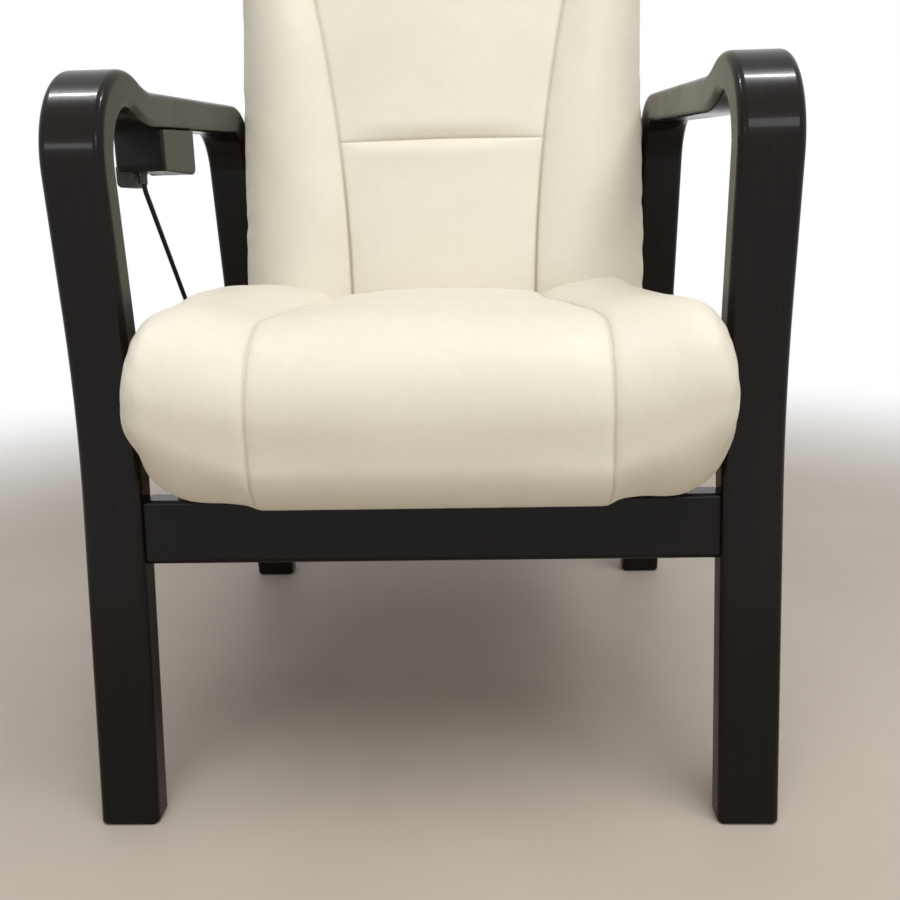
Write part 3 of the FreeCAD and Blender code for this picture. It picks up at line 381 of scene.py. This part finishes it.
def arc_points(p0, pm, p1, count):
    """Points on the circle through three points, the last one left out."""
    p0, pm, p1 = (np.array(p, float) for p in (p0, pm, p1))
    d = 2 * ((pm - p0)[0] * (p1 - p0)[1] - (pm - p0)[1] * (p1 - p0)[0])
    if abs(d) < 1e-6:
        return [p0 + (p1 - p0) * k / count for k in range(count)]
    u, v = pm - p0, p1 - p0
    centre = p0 + np.array([v[1] * (u @ u) - u[1] * (v @ v), u[0] * (v @ v) - v[0] * (u @ u)]) / d
    r = np.linalg.norm(p0 - centre)
    a0, am, a1 = (math.atan2(*(p - centre)[::-1]) for p in (p0, pm, p1))
    turn = (a1 - a0) % (2 * math.pi)
    if (am - a0) % (2 * math.pi) > turn:
        turn -= 2 * math.pi
    angles = [a0 + turn * k / count for k in range(count)]
    return [centre + r * np.array([math.cos(a), math.sin(a)]) for a in angles]


def side_pull(x, half, wide):
    """Quarter-round fall from 0 to 1 over the last stretch before half."""
    u = max(0.0, (abs(x) - (half - wide)) / wide)
    return 1 - math.sqrt(max(0.0, 1 - u * u))


def channel(d, half):
    """Sewn channel: 1 at its line, 0 from half outwards."""
    return max(0.0, 1 - abs(d) / half) ** 2


def seat_rear_y(z):
    """Rear limit of the seat at height z, a gap ahead of the back."""
    y0 = BACK_FOOT_Y - BACK_GAP * math.cos(LEAN)
    z0 = BACK_FOOT_Z + BACK_GAP * math.sin(LEAN)
    return y0 + (z - z0) * math.tan(LEAN)


SEAT_COUNTS = np.array([5, 15, 10, 5, 17, 22, 5, 7])


def seam_shift(y):
    """How far outside SEAT_SEAM the seams run at y: they draw together towards the rear."""
    return SEAM_SPREAD - SEAM_DRAW * smooth(0.0, 330.0, y)


def seat_ring(xi, fine):
    """One closed profile of the seat at station xi, as (x, y, z) points."""
    pull = side_pull(xi, SEAT_HALF, SEAT_SIDE)
    tuck = side_pull(xi, SEAT_HALF, SEAT_TUCK)
    dip = SEAM_DIP * channel(abs(xi) - SEAT_SEAM, SEAM_REACH)
    over = min(1.0, max(0.0, (abs(xi) - SEAT_SEAM) / (SEAT_HALF - SEAT_SIDE - SEAT_SEAM)))
    if over > 0:
        swell = SIDE_SWELL * math.sin(math.pi / 2 * over)
    else:
        swell = SEAT_CROWN * (1 - (xi / SEAT_SEAM) ** 2) ** 0.7
    top = SEAT_LOW + SEAT_H + swell - dip - SIDE_DROP * pull
    low = SEAT_LOW + 4 * over + TUCK_RISE * tuck
    front = -SEAT_FRONT - 0.3 * swell + dip + FRONT_DRAW * pull
    rear = 1.5 + 8 * pull
    tall = top - low
    back_low = (seat_rear_y(low) - rear, low)
    back_top = (seat_rear_y(top - SEAT_FALL) - rear, top - SEAT_FALL)
    loop = rounded_loop(
        [back_low, (front, low), (front, top), back_top],
        [0.10 * tall, (0.28 + 0.14 * over) * tall, (0.53 - 0.07 * over) * tall, 0.14 * tall],
        SEAT_COUNTS * fine,
    )
    if abs(xi) < SEAT_SEAM:
        inside = abs(xi) / SEAT_SEAM
    else:
        inside = (SEAT_HALF - abs(xi)) / (SEAT_HALF - SEAT_SEAM)
    x = xi + math.copysign(1.0, xi) * inside * seam_shift(loop[:, 0])
    return seat_shape(np.column_stack([x, loop]))


def seat_shape(p):
    """The filling as the photo shows it: a little askew, and each side filled its own way."""
    x, y, z = p[:, 0], p[:, 1], p[:, 2]
    left = x < 0
    side = np.clip((np.abs(x) - SEAT_SEAM) / (SEAT_HALF - SEAT_SEAM), 0.0, 1.0)
    # the left panel is fuller on top, and both fall off at their outer corners
    upper = smooth(330.0, 395.0, z)
    rise = upper * smooth(0.1, 0.7, side) * np.sin(np.pi * np.clip((y - 10.0) / 360.0, 0.0, 1.0))
    lift = rise * np.where(left, 6.0, -2.0)
    corner = np.where(left, 7.0 * (1 - smooth(10.0, 150.0, y)), 9.0)
    lift = lift - upper * smooth(0.6, 1.0, side) * corner
    # underneath, beside the seams, the front roll is drawn up a little
    under = (1 - smooth(285.0, 330.0, z)) * (1 - smooth(40.0, 120.0, y))
    beside = smooth(0.02, 0.15, side) * (1 - smooth(0.25, 0.65, side))
    lift = lift + under * (beside * np.where(left, 3.0, 5.0) - 5.0 * smooth(0.5, 0.85, side))
    # each seam ends in a notch at the rear
    line = SEAT_SEAM + seam_shift(y)
    notch = np.maximum(0.0, 1 - np.abs(np.abs(x) - line) / 20.0) ** 2
    lift = lift - 5.0 * notch * upper * smooth(180.0, 370.0, y)
    # the seat is turned a little, with a nip in the left flank and a fuller right one
    push = np.where(left, 6.4, 6.4 - 2.4 * smooth(0.3, 0.9, side)) - 10.4 * smooth(-20.0, 380.0, y)
    nip = 3.5 * np.exp(-(((z - 325.0) / 12.0) ** 2)) - 3.0 * np.exp(-(((z - 297.0) / 12.0) ** 2))
    full = 3.0 * np.exp(-(((z - 300.0) / 14.0) ** 2))
    push = push + smooth(0.7, 1.0, side) * np.where(left, nip, full)
    return np.column_stack([x + push, y, z + lift])


BACK_COUNTS = np.array([14, 3, 6, 14, 24, 14, 6, 3])


def back_ring(s, fine):
    """One closed profile of the back at height s along it, as local (x, t, s) points."""
    low = max(0.0, 1 - (s - BACK_LOW) / BACK_FOOT_ROUND)
    high = max(0.0, 1 - (BACK_LEN - s) / BACK_HEAD_ROUND)
    end = 1 - math.sqrt(max(0.0, 1 - min(1.0, low) ** 2 * 0.96))
    cap = 1 - math.sqrt(max(0.0, 1 - min(1.0, high) ** 2 * 0.97))
    w = BACK_HALF - FOOT_NARROW * end - HEAD_NARROW * cap
    part = min(1.0, max(0.0, (s - 60.0) / (HEAD_SEAM - 60.0)))
    seam_x = (BACK_SEAM_LOW + BACK_SEAM_FLARE * part**2) * w / BACK_HALF
    cross = max(channel(s - WAIST_SEAM, CROSS_REACH), channel(s - HEAD_SEAM, CROSS_REACH))
    head = float(smooth(0.0, 26.0, s - HEAD_SEAM))
    mid = (BACK_SWELL + HEAD_SWELL * head) * (1 - 0.8 * cross)
    draw = FOOT_DRAW * end + HEAD_DRAW * cap
    front = -BOLSTER_SWELL + draw
    groove = BACK_GROOVE + draw
    centre = groove - (mid + BACK_GROOVE) * (1 - 0.8 * cap)
    side = BACK_FLANK + 0.8 * draw
    rear = BACK_DEEP - 4 * end - 10 * cap
    soft = BACK_EDGE
    k = soft * (1 - math.sqrt(0.5))
    belly = seam_x + 0.42 * (w - seam_x)
    n = BACK_COUNTS * fine

    def line(a, b, count):
        a, b = np.array(a, float), np.array(b, float)
        return [a + (b - a) * i / count for i in range(count)]

    pts = line((-w + soft, rear), (w - soft, rear), n[0])
    pts += arc_points((w - soft, rear), (w - k, rear - k), (w, rear - soft), n[1])
    pts += line((w, rear - soft), (w, side), n[2])
    pts += arc_points((w, side), (belly, front), (seam_x, groove), n[3])
    pts += arc_points((seam_x, groove), (0, centre), (-seam_x, groove), n[4])
    pts += arc_points((-seam_x, groove), (-belly, front), (-w, side), n[5])
    pts += line((-w, side), (-w, rear - soft), n[6])
    pts += arc_points((-w, rear - soft), (-w + k, rear - k), (-w + soft, rear), n[7])
    pts = np.array(pts)
    return np.column_stack([pts, np.full(len(pts), s)])


def back_to_build(p):
    """The back's local (x, t, s) to the building frame."""
    x, t, s = p[..., 0], p[..., 1], p[..., 2]
    y = BACK_FOOT_Y + s * math.sin(LEAN) + t * math.cos(LEAN)
    z = BACK_FOOT_Z + s * math.cos(LEAN) - t * math.sin(LEAN)
    return np.stack([x, y, z], axis=-1)


CAP_SHARES = (0.95, 0.86, 0.72, 0.54, 0.34, 0.14)


def grid_of(ring, stations, fine, outward, crown):
    """Rings at all stations, with shrinking rings added at both ends; outward is the stations' direction."""
    rings = [ring(u, fine) for u in stations]
    outward = np.array(outward, float)

    def ends(edge, sign):
        middle = edge.mean(axis=0)
        made = []
        for f in CAP_SHARES:
            made.append(middle + (edge - middle) * f + sign * outward * crown * (1 - f * f))
        return made

    first = ends(rings[0], -1.0)
    last = ends(rings[-1], 1.0)
    return np.array(first[::-1] + rings + last)


def station_marks(stations, pitch):
    """A running coordinate for every ring of grid_of, end rings included."""
    head = [stations[0] - (1 - f) * pitch for f in CAP_SHARES[::-1]]
    tail = [stations[-1] + (1 - f) * pitch for f in CAP_SHARES]
    return np.array(head + list(stations) + tail)


def grid_normals(grid):
    """Outward unit normals of a tube of rings."""
    along = np.gradient(grid, axis=0)
    around = np.roll(grid, -1, axis=1) - np.roll(grid, 1, axis=1)
    n = np.cross(around, along)
    n /= np.linalg.norm(n, axis=2, keepdims=True) + 1e-9
    out = grid - grid.mean(axis=(0, 1))
    if (n * out).sum() < 0:
        n = -n
    return n


def grid_mesh(name, grid):
    """Mesh of a closed tube of rings with a fan at both ends."""
    rows, cols, _ = grid.shape
    verts = np.concatenate([grid.reshape(-1, 3), grid[0].mean(0)[None], grid[-1].mean(0)[None]])
    faces = []
    for i in range(rows - 1):
        for j in range(cols):
            k = (j + 1) % cols
            faces.append((i * cols + j, i * cols + k, (i + 1) * cols + k, (i + 1) * cols + j))
    a, b = rows * cols, rows * cols + 1
    for j in range(cols):
        k = (j + 1) % cols
        faces.append((a, k, j))
        faces.append((b, (rows - 1) * cols + j, (rows - 1) * cols + k))
    mesh = bpy.data.meshes.new(name)
    mesh.from_pydata(verts.tolist(), [], faces)
    mesh.update()
    return mesh


def face_out(obj):
    """Turns all faces outward and shades them smooth."""
    bm = bmesh.new()
    bm.from_mesh(obj.data)
    bmesh.ops.recalc_face_normals(bm, faces=bm.faces)
    bm.to_mesh(obj.data)
    bm.free()
    obj.data.polygons.foreach_set("use_smooth", [True] * len(obj.data.polygons))


def new_object(name, data):
    obj = bpy.data.objects.new(name, data)
    scene.collection.objects.link(obj)
    return obj


def puff(name, grid, pinned):
    """Inflates a coarse grid as cloth and returns how far each of its points moves, in metres."""
    obj = new_object(name, grid_mesh(name, grid))
    face_out(obj)
    hold = obj.vertex_groups.new(name="hold")
    hold.add(np.nonzero(pinned.reshape(-1))[0].tolist(), 1.0, "REPLACE")
    cloth = obj.modifiers.new("cloth", "CLOTH")
    cloth.settings.quality = 6
    cloth.settings.mass = 0.4
    cloth.settings.tension_stiffness = 25.0
    cloth.settings.compression_stiffness = 20.0
    cloth.settings.shear_stiffness = 8.0
    cloth.settings.bending_stiffness = 1.5
    cloth.settings.air_damping = 4.0
    cloth.settings.vertex_group_mass = "hold"
    cloth.settings.use_pressure = True
    cloth.settings.uniform_pressure_force = 4.0
    cloth.settings.shrink_min = 0.003
    cloth.settings.effector_weights.gravity = 0.0
    cloth.collision_settings.use_collision = False
    cloth.point_cache.frame_start = 1
    cloth.point_cache.frame_end = CLOTH_FRAMES
    for f in range(1, CLOTH_FRAMES + 1):
        scene.frame_set(f)
    graph = bpy.context.evaluated_depsgraph_get()
    done = obj.evaluated_get(graph)
    co = np.zeros(len(done.data.vertices) * 3)
    done.data.vertices.foreach_get("co", co)
    moved = co.reshape(-1, 3)[: grid.shape[0] * grid.shape[1]].reshape(grid.shape) - grid
    scene.frame_set(1)
    bpy.data.objects.remove(obj)
    for _ in range(CLOTH_SMOOTHING):
        moved = 0.5 * moved + 0.25 * (np.roll(moved, 1, axis=1) + np.roll(moved, -1, axis=1))
        inner = 0.5 * moved[1:-1] + 0.25 * (moved[:-2] + moved[2:])
        moved = np.concatenate([moved[:1], inner, moved[-1:]])
    size = np.linalg.norm(moved, axis=2, keepdims=True)
    return moved * (CLOTH_CAP * np.tanh(size / CLOTH_CAP) / np.maximum(size, 1e-9))


def cubic(values, marks, wanted, wrap):
    """Smooth interpolation along axis 0 from marks to wanted."""
    n = len(marks)
    if wrap:
        i = np.floor(wanted).astype(int)
        u = wanted - i
        take = lambda k: values[(i + k) % n]
    else:
        i = np.clip(np.searchsorted(marks, wanted, side="right") - 1, 0, n - 2)
        u = (wanted - marks[i]) / (marks[i + 1] - marks[i])
        take = lambda k: values[np.clip(i + k, 0, n - 1)]
    u = u.reshape(-1, *([1] * (values.ndim - 1)))
    a, b, c, d = take(-1), take(0), take(1), take(2)
    return b + 0.5 * u * (c - a + u * (2 * a - 5 * b + 4 * c - d + u * (3 * (b - c) + d - a)))


def spread(moved, coarse_marks, fine_marks, fine):
    """A coarse grid's moves, carried over to the fine grid."""
    cols = moved.shape[1] * fine
    part = cubic(moved.transpose(1, 0, 2), np.arange(moved.shape[1]), np.arange(cols) / fine, True)
    return cubic(part.transpose(1, 0, 2), coarse_marks, fine_marks, False)


def wave(length, pitch, seed):
    """Uneven ripple along a seam: a function of distance, between -1.6 and 1.6."""
    r = np.random.default_rng(seed)
    shift = r.uniform(0, 6.28, 4)
    rate = np.array([1.0, 0.71, 1.37, 0.33]) * 2 * math.pi / pitch
    size = np.array([0.55, 0.4, 0.3, 0.35])
    return (np.sin(length[..., None] * rate + shift) * size).sum(-1)


def unevenness(p, seed):
    """Broad, shallow hollows and swells of a filled cover, mostly between -2 and 2."""
    r = np.random.default_rng(seed)
    out = np.zeros(p.shape[:-1])
    for _ in range(9):
        way = r.normal(size=3)
        way *= 2 * math.pi / r.uniform(70.0, 190.0) / np.linalg.norm(way)
        out += 0.45 * np.sin(p @ way + r.uniform(0, 6.28))
    return out


def dense(low, high, pitch, seams, steps):
    """Stations every pitch, with more of them round each seam."""
    marks = list(np.linspace(low, high, int((high - low) / pitch) + 1))
    for seam in seams:
        marks = [m for m in marks if abs(m - seam) > steps[-1] + 0.4 * pitch]
        marks += [seam + sign * d for d in steps for sign in (-1, 1) if d or sign > 0]
    return np.array(sorted(m for m in marks if low <= m <= high))


FINE = 3                 # points of the fine grid for each of the coarse one, round a ring
SEAM_STEPS = (0.0, 0.8, 1.8, 3.2, 5.2, 8.0, 12.0)
CAP_CROWN = 2.0          # how far the shrinking rings at an end bulge
CAP_PITCH = 60.0         # how far they count as running on
RIPPLE_PITCH = 19.0


def finish_soft(name, grid, body, node, seam):
    """Makes a cover of the grid, in leather that is darker where seam says (darker seam lines and painted
    shade in their creases), in place of a CAD node.
    """
    obj = new_object(name, grid_mesh(name, grid))
    face_out(obj)
    layer = obj.data.attributes.new("seam", "FLOAT", "POINT")
    layer.data.foreach_set("value", np.concatenate([seam.reshape(-1), [0.0, 0.0]]).astype(np.float32))
    obj.data.materials.append(LEATHER)
    sub = obj.modifiers.new("subdivision", "SUBSURF")
    sub.levels = 1
    sub.render_levels = 1
    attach(obj, body)
    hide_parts(node)
    return obj


def seat_stations(pitch, seam_steps, end_steps, clear):
    """Stations across the seat, closer together at the seams and at both ends."""
    marks = dense(-SEAT_EDGE, SEAT_EDGE, pitch, (-SEAT_SEAM, SEAT_SEAM), seam_steps)
    middle = [x for x in marks if abs(x) < SEAT_EDGE - clear]
    ends = [SEAT_EDGE - d for d in end_steps]
    return np.array(sorted(middle + ends + [-x for x in ends]))


def seat_relief(base, marks):
    """What sewing does to the seat's cover: relief along its normal, and how dark its seams and side edges
    are, partly their own colour and partly painted shade in their creases.
    """
    from_seam = np.abs(np.abs(marks) - SEAT_SEAM)[:, None]
    from_side = np.abs(np.abs(marks) - SEAT_EDGE)[:, None]
    hand = np.sign(marks)[:, None]
    steps = np.linalg.norm(np.diff(base, axis=1, append=base[:, :1]), axis=2)
    round_len = np.cumsum(steps, axis=1)
    upper = smooth(SEAT_LOW + 2, SEAT_LOW + 14, base[..., 2])
    crease = -1.2 * np.exp(-((from_seam / 0.9) ** 1.4))
    near_seam = np.exp(-from_seam / 8.0) * smooth(0.0, 3.0, from_seam)
    ripple = 0.22 * wave(round_len, RIPPLE_PITCH, 3) * near_seam
    slack = 0.4 * unevenness(base, 5)
    gather = 0.9 * wave(round_len + 37 * hand, 27.0, 5) * np.exp(-from_side / 10.0)
    tight = -1.1 * np.exp(-((from_side / 1.6) ** 1.4))
    relief = (crease + ripple + slack + gather) * upper + tight
    # painted shade: a thin dark line at each seam and along the side edges, partly the seam's own colour and
    # partly shade painted into the crease
    dark = 0.32 * np.exp(-((from_seam / 0.9) ** 2)) * upper + 0.4 * np.exp(-((from_side / 1.2) ** 2))
    return relief, np.clip(dark, 0, 1)


def make_seat():
    coarse_x = seat_stations(9.0, (0.0,), (0.0, 1.5, 4.0, 8.0), 10)
    fine_x = seat_stations(4.5, SEAM_STEPS, (0.0, 0.6, 1.4, 2.6, 4.2, 6.2, 8.8, 12.0, 15.5), 18)
    coarse = grid_of(seat_ring, coarse_x, 1, (1, 0, 0), CAP_CROWN)
    base = grid_of(seat_ring, fine_x, FINE, (1, 0, 0), CAP_CROWN)
    marks0, marks1 = station_marks(coarse_x, CAP_PITCH), station_marks(fine_x, CAP_PITCH)
    # the cover is held where it is sewn and where it rests on something
    low = coarse[..., 2] < SEAT_LOW + 8
    rear = coarse[..., 1] > seat_rear_y(0) + coarse[..., 2] * math.tan(LEAN) - 6
    seam = np.abs(np.abs(marks0) - SEAT_SEAM)[:, None] < 2
    side = np.abs(np.abs(marks0) - SEAT_EDGE)[:, None] < 3
    moved = puff("seat_cloth", to_row(coarse), low | rear | seam | side) / MM
    grid = base + spread(moved, marks0, marks1, FINE)
    relief, dark = seat_relief(base, marks1)
    grid = grid + grid_normals(grid) * relief[..., None]
    obj = finish_soft("seat_upholstery", to_row(grid), "frame", "seat_cushion", dark)


def back_stations(pitch, seam_steps, foot_steps, head_steps, clear):
    """Stations up the back, closer together at the cross seams and at both ends."""
    marks = dense(BACK_LOW, BACK_LEN, pitch, (WAIST_SEAM, HEAD_SEAM), seam_steps)
    middle = [s for s in marks if BACK_LOW + clear[0] < s < BACK_LEN - clear[1]]
    foot = [BACK_LOW + d for d in foot_steps]
    head = [BACK_LEN - d for d in head_steps]
    return np.array(sorted(middle + foot + head))


def back_panel_columns(fine):
    """First and last column of the middle panels in a ring, which are the side seams."""
    columns = np.cumsum(BACK_COUNTS) * fine
    return columns[3], columns[4]


def back_relief(base, marks):
    """What sewing does to the back's cover: relief along its normal, and how dark its seams are, partly their
    own colour and partly painted shade in their creases.
    """
    first, last = back_panel_columns(FINE)
    column = np.arange(base.shape[1])[None, :]
    inside = (column >= first) & (column <= last)
    across, deep = base[..., 0], base[..., 1]
    up = marks[:, None] + 0 * across
    hand = np.sign(across)
    frontal = (deep < 45.0) & (up > BACK_LOW + 4) & (up < BACK_LEN)
    from_side = np.abs(np.abs(across) - np.abs(across[:, first])[:, None])
    from_cross = np.minimum(np.abs(up - WAIST_SEAM), np.abs(up - HEAD_SEAM))
    cut_long = np.where(frontal, np.exp(-((from_side / 1.3) ** 1.4)), 0.0)
    cut_cross = np.where(inside & frontal, np.exp(-((from_cross / 1.3) ** 1.4)), 0.0)
    crease = -np.maximum(1.9 * cut_long, 1.1 * cut_cross)
    # ripples beside the seams
    near_side = np.exp(-from_side / 8.0) * smooth(0.0, 3.0, from_side)
    near_cross = np.exp(-from_cross / 9.0) * smooth(0.0, 3.0, from_cross)
    ripple = 0.25 * wave(up, RIPPLE_PITCH, 11) * near_side + 0.45 * unevenness(base, 17)
    ripple += np.where(inside, 0.25 * wave(across, 21.0, 12) * near_cross, 0.0)
    # gathers along the border where the front cover meets the side
    border = np.exp(-np.abs(deep - 24.0) / 13.0) * smooth(185.0, 215.0, np.abs(across))
    gather = 0.8 * wave(up + 90 * hand, 41.0, 21) * border * smooth(BACK_LOW, BACK_LOW + 40, up)
    gather *= 0.35 + 0.65 * (1 - smooth(300.0, 480.0, up))
    # puckers in the flanks, beside the seat
    flank = smooth(210.0, 224.0, np.abs(across)) * (1 - smooth(60.0, 80.0, deep))
    pucker = np.minimum(0.0, wave(up + 40 * hand, 33.0, 29)) * np.where(hand < 0, 1.6, 1.0)
    gather += pucker * flank * smooth(BACK_LOW + 20, BACK_LOW + 60, up) * (1 - smooth(230.0, 300.0, up))
    relief = crease + np.where(frontal, ripple, 0.0) + gather
    # painted shade: the side seams are darkened most low down, near the seat, where shade falls; higher up
    # the darkness is mostly the seam line's own colour
    side_seam_shade = 0.5 + 0.4 * (1 - smooth(180.0, 330.0, up))
    dark = np.maximum(side_seam_shade * cut_long, 0.25 * cut_cross) * np.maximum(cut_long, cut_cross)
    return relief, np.clip(dark, 0, 1)


def make_back():
    coarse_s = back_stations(10.0, (0.0,), (0.0, 1.5, 4.0, 8.0), (0.0, 0.7, 2.5, 6.0, 12.0), (12, 17))
    foot_steps = (0.0, 0.6, 1.6, 3.2, 5.5, 8.5)
    head_steps = (0.0, 0.3, 0.9, 2.0, 3.8, 6.5, 10.0, 14.5)
    fine_s = back_stations(5.0, SEAM_STEPS, foot_steps, head_steps, (11, 18))
    coarse = grid_of(back_ring, coarse_s, 1, (0, 0, 1), CAP_CROWN)
    base = grid_of(back_ring, fine_s, FINE, (0, 0, 1), CAP_CROWN)
    marks0, marks1 = station_marks(coarse_s, CAP_PITCH), station_marks(fine_s, CAP_PITCH)
    # the cover is held where it is sewn, on the rear and at the foot
    first, last = back_panel_columns(1)
    column = np.arange(coarse.shape[1])[None, :]
    seams = (column == first) | (column == last)
    from_cross = np.minimum(np.abs(marks0 - WAIST_SEAM), np.abs(marks0 - HEAD_SEAM))[:, None]
    cross = (from_cross < 2) & (column >= first) & (column <= last)
    rear = coarse[..., 1] > 60.0
    foot = (marks0 < BACK_LOW + 2)[:, None]
    moved = puff("back_cloth", to_row(back_to_build(coarse)), rear | seams | cross | foot) / MM
    grid = back_to_build(base) + spread(moved, marks0, marks1, FINE)
    relief, dark = back_relief(base, marks1)
    grid = grid + grid_normals(grid) * relief[..., None]
    obj = finish_soft("back_upholstery", to_row(grid), "back", "back_cushion", dark)


def make_rear_panel():
    """Thin padded cover on the rear, with a soft rolled edge."""
    half, low, high, out = PANEL_HALF, PANEL_LOW, PANEL_HIGH, PANEL_OUT
    # how far in from the outline, and how far to the rear, the rolled edge goes
    roll = [
        (0.0, PANEL_IN),
        (0.0, out - 4.0),
        (0.5, out - 2.2),
        (1.5, out - 0.9),
        (3.2, out),
        (6.0, out + 0.4),
    ]
    rings = []
    for d, t in roll:
        foot_round, head_round = max(3.0, PANEL_FOOT_ROUND - d), max(6.0, PANEL_HEAD_ROUND - d)
        loop = rounded_loop(
            [(half - d, low + d), (half - d, high - d), (-half + d, high - d), (-half + d, low + d)],
            [foot_round, head_round, head_round, foot_round],
            [6, 60, 14, 40, 14, 60, 6, 40],
        )
        rings.append(np.column_stack([loop[:, 0], np.full(len(loop), t), loop[:, 1]]))
    edge = rings[-1]
    middle = np.array([0.0, out + 0.4, (low + high) / 2])
    for f in (0.98, 0.95, 0.90, 0.83, 0.74, 0.62, 0.48, 0.32, 0.16, 0.05):
        rings.append(middle + (edge - middle) * f + np.array([0.0, 1.6 * (1 - f**6), 0.0]))
    grid = to_row(back_to_build(np.array(rings)))
    obj = finish_soft("rear_panel_cover", grid, "back", "back_panel", np.zeros(grid.shape[:2]))


make_seat()
make_back()
make_rear_panel()


# Stage, light and camera
def seen_directly(tree):
    """1 for camera, glossy and transmission rays."""
    path = add(tree, "ShaderNodeLightPath")
    first = add(tree, "ShaderNodeMath", operation="MAXIMUM")
    tree.links.new(path.outputs["Is Camera Ray"], first.inputs[0])
    tree.links.new(path.outputs["Is Glossy Ray"], first.inputs[1])
    second = add(tree, "ShaderNodeMath", operation="MAXIMUM")
    tree.links.new(first.outputs[0], second.inputs[0])
    tree.links.new(path.outputs["Is Transmission Ray"], second.inputs[1])
    return second.outputs[0]


FLOOR_HALF = 6.0
FLOOR_FADE = (0.8, 2.1)  # the floor turns white between these distances, in metres
CEILING = 2.6            # height of the strips and the far lamps


def make_floor():
    """Pale floor that keeps the shadow and fades to white where it is seen."""
    mesh = bpy.data.meshes.new("floor")
    r = FLOOR_HALF
    mesh.from_pydata([(-r, -r, 0), (r, -r, 0), (r, r, 0), (-r, r, 0)], [], [(0, 1, 2, 3)])
    floor = new_object("floor", mesh)
    mat, tree, bsdf = material("pale_floor")
    where = place(tree)
    cloud = noise(tree, where, 3.0, 3.0)
    tone = ramp(tree, cloud, [(0.3, (0.54, 0.475, 0.405)), (0.7, (0.59, 0.525, 0.455))])
    tree.links.new(tone, bsdf.inputs["Base Color"])
    bsdf.inputs["Roughness"].default_value = 0.6
    glow = add(tree, "ShaderNodeEmission", Strength=1.0)
    glow.inputs["Color"].default_value = (1, 1, 1, 1)
    far = add(tree, "ShaderNodeVectorMath", operation="LENGTH")
    tree.links.new(where, far.inputs[0])
    reach = add(tree, "ShaderNodeMapRange", interpolation_type="SMOOTHSTEP")
    tree.links.new(far.outputs["Value"], reach.inputs["Value"])
    reach.inputs["From Min"].default_value = FLOOR_FADE[0]
    reach.inputs["From Max"].default_value = FLOOR_FADE[1]
    share = add(tree, "ShaderNodeMath", operation="MULTIPLY")
    tree.links.new(reach.outputs["Result"], share.inputs[0])
    tree.links.new(seen_directly(tree), share.inputs[1])
    mix = tree.nodes.new("ShaderNodeMixShader")
    tree.links.new(share.outputs[0], mix.inputs[0])
    tree.links.new(bsdf.outputs[0], mix.inputs[1])
    tree.links.new(glow.outputs[0], mix.inputs[2])
    tree.links.new(mix.outputs[0], tree.nodes["Material Output"].inputs["Surface"])
    mesh.materials.append(mat)


def make_world():
    """Weak light, stronger from above, and white where it is seen."""
    world = bpy.data.worlds.new("studio")
    scene.world = world
    world.use_nodes = True
    tree = world.node_tree
    light = tree.nodes["Background"]
    light.inputs["Color"].default_value = (1.0, 0.985, 0.96, 1)
    coords = add(tree, "ShaderNodeTexCoord")
    split = add(tree, "ShaderNodeSeparateXYZ")
    tree.links.new(coords.outputs["Generated"], split.inputs[0])
    tree.links.new(span(tree, split.outputs["Z"], 0.07, 0.30), light.inputs["Strength"])
    seen = add(tree, "ShaderNodeBackground", Strength=1.0)
    seen.inputs["Color"].default_value = (1, 1, 1, 1)
    mix = tree.nodes.new("ShaderNodeMixShader")
    tree.links.new(seen_directly(tree), mix.inputs[0])
    tree.links.new(light.outputs[0], mix.inputs[1])
    tree.links.new(seen.outputs[0], mix.inputs[2])
    tree.links.new(mix.outputs[0], tree.nodes["World Output"].inputs["Surface"])


def lamp(name, place_at, aim, wide, deep, watts, diffuse=True, glossy=True):
    """Rectangular lamp; it may be left out of diffuse or of glossy reflection."""
    data = bpy.data.lights.new(name, "AREA")
    data.shape = "RECTANGLE"
    data.size = wide
    data.size_y = deep
    data.energy = watts
    obj = new_object(name, data)
    obj.location = place_at
    obj.rotation_mode = "QUATERNION"
    obj.rotation_quaternion = (Vector(aim) - Vector(place_at)).to_track_quat("-Z", "Y")
    obj.visible_diffuse = diffuse
    obj.visible_glossy = glossy


make_floor()
make_world()
# the strips only draw highlights and the key only lights: soft shadows, narrow highlights
lamp("strip_left", (-1.04, -0.15, CEILING), (-1.04, -0.15, 0.0), 0.38, 0.11, 20.0, diffuse=False)
lamp("strip_right", (0.79, -0.26, CEILING), (0.79, -0.26, 0.0), 0.38, 0.11, 20.0, diffuse=False)
lamp("far_left", (-2.24, -4.75, CEILING), (-0.25, -0.2, 0.55), 0.9, 0.5, 12.0)
lamp("far_right", (1.39, -3.91, CEILING), (0.25, -0.2, 0.55), 0.8, 0.7, 14.0)
lamp("soft_key", (0.45, -1.25, 2.7), (0.0, 0.0, 0.45), 2.6, 2.0, 67.5, glossy=False)

# the camera as fitted to the photo, its place in the building frame
SENSOR = 36.0
LENS = 40.31
CAMERA_AT = (50.1, -735.9, 491.4)
CAMERA_RIGHT = (0.99908, 0.03553, -0.02428)
CAMERA_AHEAD = (-0.04015, 0.97260, -0.22900)


def make_camera():
    data = bpy.data.cameras.new("camera")
    data.sensor_width = SENSOR
    data.lens = LENS
    camera = new_object("camera", data)
    right = Vector(CAMERA_RIGHT).normalized()
    ahead = Vector(CAMERA_AHEAD)
    ahead = (ahead - right * ahead.dot(right)).normalized()
    up = right.cross(ahead)
    spot = Matrix((right, up, -ahead)).transposed().to_4x4()
    spot.translation = Vector(to_row(CAMERA_AT))
    camera.matrix_world = spot
    scene.camera = camera


make_camera()
